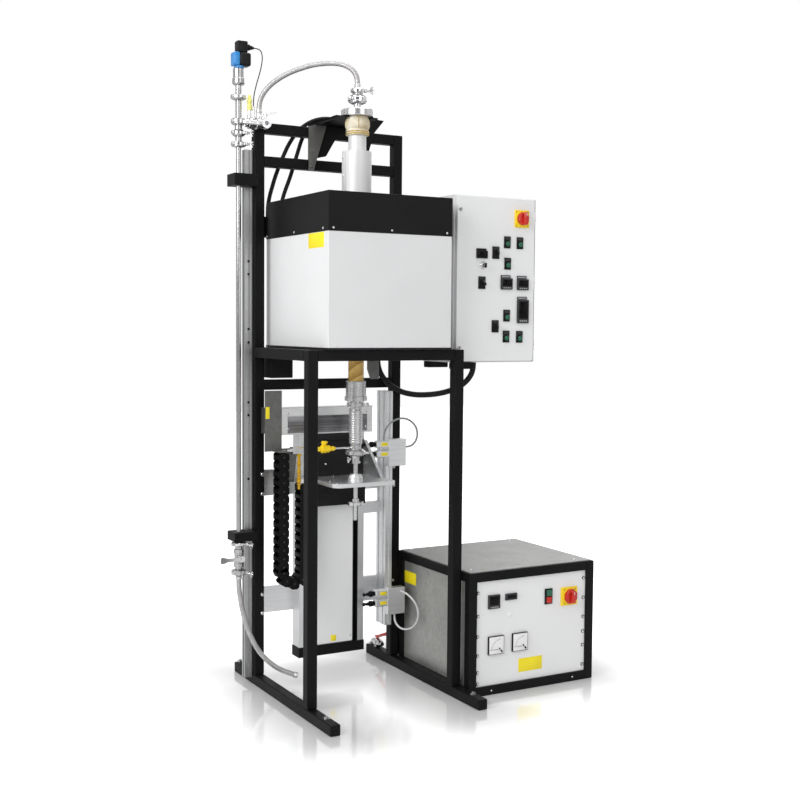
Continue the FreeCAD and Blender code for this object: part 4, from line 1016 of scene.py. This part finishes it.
chainSizes = {
    "pitch": 33, "high": 45, "wide": 59, "near": 81, "far": 173, "back": 609.5,
    "bend": 458, "top": 930, "seat": 806,
    "plate": [(-0.5, -0.78), (-0.34, -0.96), (0.34, -0.96), (0.48, -0.78), (0.6, -0.6), (0.6, 0.6),
              (0.48, 0.78), (0.34, 0.96), (-0.34, 0.96), (-0.5, 0.78)],  # shares of pitch and half height
}


def makeLink():
    # one link along x, its outer side towards -z
    s = chainSizes
    half, wide, pitch = s["high"] / 2, s["wide"] / 2, s["pitch"]
    bm = bmesh.new()
    for side in (1, -1):
        low = min(side * wide, side * (wide - 7))
        outline = [(545 + pitch * u, half * v) for u, v in s["plate"]]
        addPrism(bm, 0, "xz", outline, 450 + low, 450 + low + 7, 1.2)
        inner = side * (wide - 8.5)
        addTurned(bm, 0, (545 - pitch * 0.42, 450 + inner, 0), "y" if side > 0 else "-y",
                  [(0, -2), (9.5, -2), (9.5, 1.6), (0, 1.6)], 18)
        addTurned(bm, 1, (545, 450 + side * (wide - 0.3), 0), "y" if side > 0 else "-y",
                  cap(3.6, 0.5, 2.6, 0.9), 12)
    for level in (-half, half - 5):
        addBlock(bm, 0, (545 - 7.5, 450 - wide + 1, level), (15, 2 * wide - 2, 5), 1.5)
    return meshPiece("chainLink", bm, ["chainNylon", "darkPlastic"], 40)


def makeChainTree():
    inputs = {"Line": "Geometry", "Link": "Object", "Pitch": "Float"}
    tree, inlet, outlet = startTree("chainRun", inputs, "Chain")
    pace = placeNode(tree, "GeometryNodeResampleCurve", {"Curve": inlet["Line"], "Length": inlet["Pitch"]},
                     mode="LENGTH")
    tangent = tree.nodes.new("GeometryNodeInputTangent").outputs["Tangent"]
    tree.links.new(spreadOver(tree, pace.outputs["Curve"], inlet["Link"], tangent, "X"), outlet["Chain"])
    return tree


def chainRun(name, points):
    curve = bpy.data.curves.new("chainLine", "CURVE")
    curve.dimensions = "3D"
    line = curve.splines.new("POLY")
    line.points.add(len(points) - 1)
    for spot, point in zip(line.points, points):
        spot.co = (*at(*point), 1)
    values = {"Link": chainLink, "Pitch": chainSizes["pitch"] / 1000}
    return growMesh(name, placeObject("chainLine", curve), chainTree, values)


chainLink = makeLink()
chainTree = makeChainTree()


def makeChain():
    s = chainSizes
    back, bend, pitch = s["back"], s["bend"], s["pitch"]
    left, right = s["near"], s["far"]
    middle, radius = (left + right) / 2, (right - left) / 2
    links = int((s["top"] - bend) / pitch)
    ends = [(left, back, s["top"] - pitch * 0.6), (left, back, s["top"] - pitch * (links - 0.4))]
    fixed = chainRun("chainFixedLinks", ends)
    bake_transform(fixed)
    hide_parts("chain_fixed")
    curve = [(x, back, z) for x, z in arc(middle, bend, radius, 180, 360, 24)]
    settle(chainRun("chainBendLinks", curve), "chain_roller", ["chain_bend"])
    links = int((s["seat"] - bend) / pitch)
    ends = [(right, back, s["seat"] - pitch * (links - 0.4)), (right, back, s["seat"] - pitch * 0.6)]
    moving = chainRun("chainMovingLinks", ends)
    settle(moving, "carriage", ["chain_moving"])
    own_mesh(moving)


makeChain()
bpy.data.objects.remove(chainLink)
print("energy chain made")


# control door and power cabinet fronts

doorBits = {
    "face": 256.7, "plate": (917, 1812, 68, 68), "display": (741, 1686, 50, 38),
    "controls": ((855, 1568, 54, 56), (932, 1567, 54, 56), (934, 1437, 54, 104)),
    "buttons": ((884, 1752), (944, 1751), (887, 1669), (885, 1466), (884, 1384), (947, 1383)),
    "selectors": ((831, 1710, 0), (768, 1592, 1), (832, 1424, 0)),
    "key": (773, 1659), "knob": (951, 1846),
    "buttonRim": [(10.2, 0), (12.6, 0), (12.6, 3.4), (11.6, 4.2), (10.4, 4.2), (10.2, 3.6), (10.2, 0)],
    "buttonCap": [(0, 0), (9.9, 0), (9.9, 4.2), (9.2, 5.6), (7.4, 6.5), (4, 6.9), (0, 7)],
    "keyRim": [(0, 0), (15, 0), (15, 2), (13.4, 4.2), (10.2, 6), (8.4, 6), (7.6, 5), (0, 5)],
    "locks": (668, (1340, 1870)),
    "lockTurns": [(0, 0), (9, 0), (9, 1.2), (7.6, 2.4), (4.4, 2.4), (4, 1.2), (0, 1.2)],
    # the black strip right of the door is partly a seal, partly painted shadow of the door's edge
    "hinges": (1018.5, 262, (1355, 1600, 1845)), "seal": ((1016.8, 273.4, 1286), (12.6, 2, 638)),
}
frontFinishes = ["blackPlastic", "darkPlastic", "screenGlass", "keyGrey", "yellowPlastic"]
powerBits = {
    "face": 150, "plate": (1092, 311, 80, 74), "control": (744, 336, 54, 54), "display": (824, 362, 54, 26),
    "lamp": (846, 303), "twin": (1013, 326, 36, 62), "meters": ((746, 156), (858, 156)), "meter": 72,
    "lampTurns": [(0, 0), (6.5, 0), (6.5, 1.6), (5, 2.4), (4.4, 4.4), (2.6, 5.8), (0, 6.2)],
    "label": (892, 69, 113, 54), "knob": (1134, 348), "screwLeft": 700, "screwRight": 1205,
    "screwsLeft": (402, 312, 232, 158, 92, 48), "screwsRight": (414, 334, 256, 196, 140, 60),
    "lidScrews": ((699, 667), (1183, 644), (1180, 181), (695, 195)),
    "sideLabels": [((664.4, 564, 354), (0.6, 97, 49)), ((320, 654.4, 144), (24, 0.5, 24))],
}


def addPlate(bm, number, x, z, wide, high, face, proud, soft, thick=0, steps=2):
    # a block on a front, its own front proud of the face
    addBlock(bm, number, (x, face - proud, z), (wide, thick or proud, high), soft, None, steps)


def switchPlate(bm, number, dark, x, z, wide, high, knob, face):
    addPlate(bm, number, x, z, wide, high, face, 6, 2.5, steps=3)
    middle = (knob[0], face - 6, knob[1])
    addTurned(bm, number, middle, "-y", [(25, 0), (32, 0), (32, 1), (30.5, 1.8), (25, 1.8), (25, 0)], 56)
    for dx, dz in ((-27, -27), (27, -27), (-27, 27), (27, 27)):
        addTurned(bm, dark, (middle[0] + dx, face - 6, middle[2] + dz), "-y",
                  [(0, -0.5), (2.2, -0.5), (2.2, 0.3), (0, 0.3)], 14)


def controlFront(bm, x, z, wide, high, face, strip=12, deep=9):
    # label holder above, then a grey bezel with a dark screen and a row of keys
    body = high - strip
    if strip:
        addPlate(bm, 0, x + 1, z + body + 1, wide - 9, strip - 1, face, 4, 0.8)
        addPlate(bm, 3, x + 4, z + body + 3.2, wide - 15, strip - 6, face, 4.3, 0.2, 1)
    addPlate(bm, 1, x, z, wide, body, face, deep, 2.4, steps=3)
    inset = 6 if body > 60 else 5.5
    keys = 15 if body > 60 else 11
    addPlate(bm, 2, x + inset, z + keys + 3, wide - 2 * inset, body - keys - 3 - inset,
             face, deep + 0.7, 0.6, 2)
    span = (wide - 2 * inset - 4) / 4
    for k in range(4):
        addPlate(bm, 3, x + inset + 2 + span * (k + 0.16), z + keys * 0.38, span * 0.66, keys * 0.42, face,
                 deep + 0.9, 0.5, 1.6)


def makeDoorFront():
    s = doorBits
    face = s["face"]
    bm = bmesh.new()
    switchPlate(bm, 4, 0, *s["plate"], s["knob"], face)
    x, z, wide, high = s["display"]
    addPlate(bm, 0, x, z + high - 8, wide - 4, 8, face, 3.5, 0.8)
    addPlate(bm, 0, x, z, wide, high - 8, face, 8, 2, steps=3)
    addPlate(bm, 2, x + 4, z + 5, wide - 8, high - 18, face, 8.6, 0.5, 1.5)
    for x, z, wide, high in s["controls"]:
        controlFront(bm, x, z, wide, high, face)
    for x, z in s["buttons"]:
        addPlate(bm, 0, x - 15, z + 6.5, 30, 16.5, face, 5, 1)
        addPlate(bm, 1, x - 11, z + 10, 22, 9.5, face, 5.4, 0.4, 1.4)
        addPrism(bm, 0, "xz", [(x - 15, z - 23), (x + 15, z - 23), (x + 15, z + 6), (x - 15, z + 6)],
                 face - 4, face, 0.8)
        addTurned(bm, 0, (x, face - 3.8, z - 6), "-y", s["buttonRim"], 36)
    for x, z, _ in s["selectors"]:
        addPlate(bm, 0, x - 16, z - 24, 32, 48, face, 4, 1.2)
        addPlate(bm, 1, x - 11, z + 12.5, 22, 8, face, 4.4, 0.4, 1.4)
        addTurned(bm, 0, (x, face - 4, z), "-y", cap(13.5, 2, 12.5, 3), 36)
    x, z = s["key"]
    addTurned(bm, 5, (x, face, z), "-y", s["keyRim"], 40)
    settle(meshPiece("doorInstruments", bm, [*frontFinishes, "brightSteel"]), "door",
           ["door_instruments"])

    for i, (x, z) in enumerate(s["buttons"], 1):
        bm = bmesh.new()
        addTurned(bm, 0, (x, face - 3.7, z - 6), "-y", s["buttonCap"], 36)
        piece = meshPiece(f"greenCap{i}", bm, ["greenPlastic"])
        settle(piece, f"press_{i}", [f"button_{i}"])
    for i, (x, z, turned) in enumerate(s["selectors"], 1):
        bm = bmesh.new()
        spin = Matrix.Rotation(math.radians(-38 if turned else 0), 4, "Y")
        addTurned(bm, 0, (x, face - 7, z), "-y", cap(11.2, 5, 10, 7.5), 36)
        addBlock(bm, 0, (x - 4, face - 24, z - 11.5), (8, 16, 23), 2.4, spin, 3)
        shift = spin @ Vector((0, 0, 6))
        addBlock(bm, 1, (x - 0.7 + shift.x, face - 24.4, z - 4 + shift.z), (1.4, 1, 8), 0.2, spin)
        settle(meshPiece(f"selectorGrip{i}", bm, ["blackPlastic", "keyGrey"]), f"turn_{i}",
               [f"selector_{i}"])
    bm = bmesh.new()
    x, z = s["key"]
    addTurned(bm, 0, (x, face - 5.6, z), "-y", cap(7.2, 3, 6.6, 3.8), 32)
    addBlock(bm, 0, (x - 1.4, face - 14, z - 4), (2.8, 8, 8), 0.4)
    addBlock(bm, 1, (x - 2.6, face - 26, z - 9), (5.2, 13, 18), 2, None, 3)
    settle(meshPiece("panelKey", bm, ["brightSteel", "blackPlastic"]), "key", ["key_switch"])


knobSizes = {
    "stand": 6.4, "lobes": 8, "sides": 96,
    "levels": [(0, 24.5, 1.9), (2, 25.8, 1.9), (8, 26.6, 1.9), (11.5, 25.6, 1.9), (14, 22.5, 1.9),
               (15, 18, 0.6)],  # distance from the plate, radius and depth of the hollows between lobes
}


def rotaryKnob(name, x, z, face, body, node, grow=1.0):
    # lobed red handle with a raised grip and a padlock slot; the slot is a black block, painted shade for the
    # hole
    s = knobSizes
    sides, start = s["sides"], face - s["stand"]
    bm = bmesh.new()
    part = bmesh.new()
    rings = []
    for deep, wide, hollow in s["levels"]:
        ring = []
        for k in range(sides):
            angle = 2 * math.pi * k / sides
            lobe = grow * (wide - hollow * (0.5 + 0.5 * math.cos(s["lobes"] * angle)) ** 2)
            spot = at(x + lobe * math.cos(angle), start - deep, z + lobe * math.sin(angle))
            ring.append(part.verts.new(spot))
        rings.append(ring)
    for lower, upper in zip(rings, rings[1:]):
        for k in range(sides):
            part.faces.new((lower[k], upper[k], upper[(k + 1) % sides], lower[(k + 1) % sides]))
    part.faces.new(rings[0])
    part.faces.new(rings[-1][::-1])
    pour(bm, part, 0)
    addBlock(bm, 0, (x - 8.5, start - 31, z - 25), (17, 18, 50), 4.5, None, 4)
    # painted shade: a black block through the grip stands in for the padlock hole
    addBlock(bm, 1, (x - 9, start - 22.5, z + 8), (18, 5, 9), 1)
    addBlock(bm, 2, (x - 1.1, start - 31.4, z + 10), (2.2, 1, 12), 0.3)
    settle(meshPiece(name, bm, ["redPlastic", "blackPlastic", "meterFace"]), body, [node])


meterSizes = {
    "glass": 9.7, "pivot": (0.76, 0.24), "scale": 0.56, "ends": (92, 178), "marks": 18,
    "ticks": (0.07, 0.04, 0.04), "needle": (0.5, 176),  # shares of the meter's size, and degrees
}


def meterFront(bm, x, z, size, face):
    # moving-coil meter: pivot at the lower right, quarter-circle scale
    s = meterSizes
    first, last = s["ends"]
    addPlate(bm, 0, x, z, size, size, face, 9, 1.6, steps=3)
    addPlate(bm, 1, x + 2.6, z + 2.6, size - 5.2, size - 5.2, face, s["glass"], 0.5, 2)
    px, pz = x + size * s["pivot"][0], z + size * s["pivot"][1]
    front = face - s["glass"]
    reach = size * s["scale"]
    for k, (cx, cz) in enumerate(arc(0, 0, 1, first, last, s["marks"])):
        end = reach + size * s["ticks"][k % 3]
        inner, outer = ((px + out * cx, front - 0.1, pz + out * cz) for out in (reach, end))
        addRod(bm, 3, inner, outer, 0.34, 4)
    line = [(u, front - 0.1, v) for u, v in arc(px, pz, reach, first, last, 20)]
    for start, end in zip(line, line[1:]):
        addRod(bm, 3, start, end, 0.25, 4)
    addBlock(bm, 3, (x + 5, front - 0.3, z + size * 0.27), (size * 0.5, 0.6, 0.8), 0)
    length, angle = size * s["needle"][0], math.radians(s["needle"][1])
    tip = (px + length * math.cos(angle), front - 0.7, pz + length * math.sin(angle))
    addRod(bm, 0, (px, front - 0.7, pz), tip, 0.45, 6)
    cover = [(px - 9, pz + 7), (px - 6, pz + 10), (px + 11, pz - 8), (px + 6, pz - 13)]
    addPrism(bm, 0, "xz", cover, front - 1.2, front, 0.3)
    addTurned(bm, 2, (px - 1, front - 0.6, pz + 1), "-y", cap(3.2, 0.8, 2.4, 1.4), 20)


def makePowerFront():
    s = powerBits
    face = s["face"]
    bm = bmesh.new()
    switchPlate(bm, 4, 0, *s["plate"], s["knob"], face)
    x, z, wide, high = s["control"]
    controlFront(bm, x, z, wide, high, face, 0)
    x, z, wide, high = s["display"]
    addPlate(bm, 1, x, z, wide, high, face, 8, 2.4, steps=3)
    addPlate(bm, 2, x + 7, z + 6, wide - 14, high - 12, face, 8.6, 0.5, 1.5)
    x, z, wide, high = s["twin"]
    addPlate(bm, 0, x, z, wide, high, face, 6, 1.6)
    for low in (z + 4.6, z + 32.6):
        outline = [(x + 5.4, low), (x + 6.4, low), (x + 6.4, low + 24.8), (x + 5.4, low + 24.8)]
        addPrism(bm, 1, "xz", outline, face - 7.4, face - 5, 0.2)
    settle(meshPiece("powerInstruments", bm, frontFinishes), "frame", ["power_instruments"])

    bm = bmesh.new()
    for x, z in s["meters"]:
        meterFront(bm, x, z, s["meter"], face)
    settle(meshPiece("panelMeters", bm, ["blackPlastic", "meterFace", "brightSteel", "darkPlastic"]), "frame")
    bm = bmesh.new()
    x, z = s["lamp"]
    addTurned(bm, 0, (x, face, z), "-y", s["lampTurns"], 28)
    settle(meshPiece("panelLamp", bm, ["meterFace"]), "frame")
    bm = bmesh.new()
    x, z, wide, high = s["label"]
    addPlate(bm, 0, x, z, wide, high, face, 0.6, 0.2)
    for corner, size in s["sideLabels"]:
        addBlock(bm, 0, corner, size, 0.2)
    settle(meshPiece("plainLabels", bm, ["yellowLabel"]), "frame")

    spots = [(s["screwLeft"], face, z, "-y") for z in s["screwsLeft"]]
    spots += [(s["screwRight"], face, z, "-y") for z in s["screwsRight"]]
    screwRow("frontWashers", [(x, y + 0.4, z, way) for x, y, z, way in spots], 7.2, "blackPlastic", "frame")
    screwRow("frontScrews", [(x, y - 2.2, z, way) for x, y, z, way in spots], 5.2, "brightSteel", "frame")
    lid = [(x, y, 485, "z") for x, y in s["lidScrews"]]
    screwRow("lidScrews", lid, 5.5, "brightSteel", "frame")
    low = [(655, y, 18, "-x") for y in (190, 420, 640)] + [(1250, y, 18, "x") for y in (190, 420, 640)]
    low += [(x, 140, 18, "-y") for x in (760, 1150)]
    screwRow("plinthScrews", low, 3.6, "brightSteel", "frame")
    for name, z, finish, slot, body in (("startCap", 359, "greenPlastic", "green_plastic", "start"),
                                        ("stopCap", 331, "redPlastic", "red_plastic", "stop")):
        bm = bmesh.new()
        addBlock(bm, 0, (1019, face - 10.6, z), (24, 7, 24), 2, None, 3)
        settle(meshPiece(name, bm, [finish]), body, [body + "_button"])


def makeDoorEdge():
    # hinge barrels and, at the right edge, a black strip that is partly the seal and partly painted shadow of
    # the door's edge; cam locks at the left
    s = doorBits
    face = s["face"]
    bm = bmesh.new()
    x, y, levels = s["hinges"]
    for z in levels:
        for half, radius in ((26, 3.4), (9, 3.9)):
            addRod(bm, 0, (x, y, z - half), (x, y, z + half), radius, 16)
    settle(meshPiece("doorHinges", bm, ["brightSteel"]), "frame")
    # black strip on the cabinet's rim: partly a rubber seal, partly painted shadow of the door's edge
    bm = bmesh.new()
    addBlock(bm, 0, *s["seal"], 0.6)
    settle(meshPiece("doorSeal", bm, ["blackRubber"]), "frame")
    bm = bmesh.new()
    x, levels = s["locks"]
    for z in levels:
        addTurned(bm, 0, (x, face, z), "-y", s["lockTurns"], 28)
        addBlock(bm, 1, (x - 1.1, face - 2, z - 4.5), (2.2, 1.4, 9), 0.2)
    settle(meshPiece("doorLocks", bm, ["brightSteel", "blackPlastic"]), "door")


makeDoorFront()
makePowerFront()
makeDoorEdge()
rotaryKnob("doorRotary", *doorBits["knob"], doorBits["face"], "door_switch", "door_switch_knob")
rotaryKnob("powerRotary", *powerBits["knob"], powerBits["face"], "power_switch", "power_switch_knob", 1.17)
print("instrument fronts made")


# drive, carriage and services

driveBits = {
    # painted shade: thin black sheets on the slots' walls and bottoms and behind the slide cover, where these
    # recesses are in shade
    "shadeLining": [((207.6, 686.4, 134), (22.8, 3, 855), 0), ((417.6, 686.4, 134), (22.8, 3, 855), 0),
               ((207.1, 656, 134), (0.7, 30, 855), 0), ((230.2, 656, 134), (0.7, 30, 855), 0),
               ((417.1, 656, 134), (0.7, 30, 855), 0), ((440.2, 656, 134), (0.7, 30, 855), 0),
               ((231.4, 655.6, 700.6), (185.2, 5.3, 289), 0.4)],
    "cover": ((211.2, 631.6, 701.4), (250.8, 22.7, 259.4)), "slats": range(712, 800, 11),
    "slat": (214, 630.9, (245, 1.6, 5)), "panel": ((128, 654.5, 996), (352, 1.9, 68)),
    "screws": [
        ("coverScrews", "frame", 3.6, [(240, 655, 160, "-y"), (408, 655, 160, "-y")]),
        ("headScrews", "frame", 5, [(x, 656, z, "-y") for x in (130, 476) for z in (1012, 1074)]),
        ("carriageScrews", "carriage", 4.2, [(x, 631.6, z, "-y") for x in (282, 434) for z in (870, 940)]),
        ("tableScrews", "carriage", 4.2, [(x, y, 822, "z") for x, y in (
            (222, 404), (440, 404), (222, 470), (300, 600), (400, 600), (222, 600))]),
    ],
}


def makeDriveBits():
    s = driveBits
    # black sheets in the slots and behind the cover: painted shade
    bm = bmesh.new()
    for corner, size, soft in s["shadeLining"]:
        addBlock(bm, 0, corner, size, soft)
    settle(meshPiece("slotLining", bm, ["blackRubber"]), "frame")
    bm = bmesh.new()
    addBlock(bm, 0, *s["cover"], 1.2)
    x, y, size = s["slat"]
    for z in s["slats"]:
        addBlock(bm, 0, (x, y, z), size, 0.6)
    settle(meshPiece("slideCover", bm, ["blackPlastic"]), "carriage")
    # the head panel's dark steel colour is painted shade for the dark reflection it shows
    bm = bmesh.new()
    addBlock(bm, 0, *s["panel"], 0.5)
    settle(meshPiece("headPanel", bm, ["shadedSteel"]), "frame")
    for name, body, radius, spots in s["screws"]:
        screwRow(name, spots, radius, "brightSteel", body)


serviceBits = {
    "blocks": (850, 236), "rise": 40,  # undersides of the blocks, and the step between a block's coils
    "label": (521, 605.3, 44), "plate": ((28, 639.2, 1058), (16, 1, 46)), "tip": (466, 621, 51),
    "tipTurns": [(0, 0), (5, 0), (5, 8), (7.5, 10), (7.5, 16), (5, 18), (0, 18)],
    "screw": (505, 605.6, 11),
}


def makeServiceBits():
    s = serviceBits
    lows = [base + s["rise"] * k for base in s["blocks"] for k in (0, 1)]
    bm = bmesh.new()
    x, y, up = s["label"]
    for low in lows:
        addBlock(bm, 0, (x, y, low + up), (29, 1, 14), 0.4)
    addBlock(bm, 0, *s["plate"], 0.4)
    settle(meshPiece("pillLabels", bm, ["yellowLabel"]), "frame")
    bm = bmesh.new()
    (x, y, up), (side, front, apart) = s["tip"], s["screw"]
    for z in (low + up for low in lows):
        addTurned(bm, 0, (x, y, z), "-x", s["tipTurns"], 20)
        for level in (z - apart, z + apart):
            addTurned(bm, 1, (side, front, level), "-y", cap(2.2, 0.8, 1.4, 1.4), 12)
    settle(meshPiece("coilTips", bm, ["blackPlastic", "brightSteel"]), "frame")


hoseEnds = {"radius": 11.6, "length": 18, "hoses": ("topHose", "lowerHose")}


def makeHoseEnds():
    # crimped sleeves over the hoses' ends
    s = hoseEnds
    bm = bmesh.new()
    ways = [cordRoutes[name]["points"][::way] for name in s["hoses"] for way in (1, -1)]
    for start, following in ((Vector(way[0]), Vector(way[1])) for way in ways):
        along = (following - start).normalized()
        addRod(bm, 0, tuple(start), tuple(start + along * s["length"]), s["radius"], 28)
        for k in (0.35, 0.7):
            addTurned(bm, 0, tuple(start + along * s["length"] * k), tuple(along),
                      rib(s["radius"] - 1, 1.2, s["radius"] + 0.8, 0.8), 28)
    settle(meshPiece("hoseSleeves", bm, ["turnedSteel"]), "frame")


gasBits = {
    "body": (176, 453, 952), "hexagon": [(0, 0), (13, 0), (16, 2.5), (16, 24), (13, 27), (0, 27)],
    "neck": (189, 453, 966), "neckTurns": [(0, 0), (8, 0), (8, 5), (11, 7), (11, 14), (9, 16), (0, 16)],
    "line": (137, 568), "nuts": (926, 892, 878, 846, 832, 806),
    "nutTurns": [(7, 0), (9.6, 0.6), (9.6, 4), (7, 4.6), (7, 0)],
    "grip": [(729, 116), (733, 112), (792, 94), (796, 97), (796, 104), (734, 127), (729, 125)],
    "gripSides": (619.5, 640.5), "marks": (1668, 1618, 1406, 1354, 1120, 1070, 820, 560),
}


def makeGasAndWater():
    s = gasBits
    bm = bmesh.new()
    addTurned(bm, 0, s["body"], "x", s["hexagon"], 6)
    addTurned(bm, 0, s["neck"], "z", s["neckTurns"], 20)
    settle(meshPiece("gasBody", bm, ["yellowBrass"]), "frame")
    bm = bmesh.new()
    for z in s["nuts"]:
        addTurned(bm, 0, (*s["line"], z - 3), "z", s["nutTurns"], 24)
    settle(meshPiece("lineNuts", bm, ["goldRing"]), "frame")
    bm = bmesh.new()
    addPrism(bm, 0, "yz", s["grip"], *s["gripSides"], 2.2)
    settle(meshPiece("waterGrip", bm, ["redPlastic"]), "water_handle")
    marks = [(-19, 700.2, z, "-y") for z in s["marks"]]
    screwRow("profileMarks", marks, 5, "blackPlastic", "frame")


makeDriveBits()
makeServiceBits()
makeHoseEnds()
makeGasAndWater()
print("drive and service details made")

bpy.data.objects.remove(screwHead)
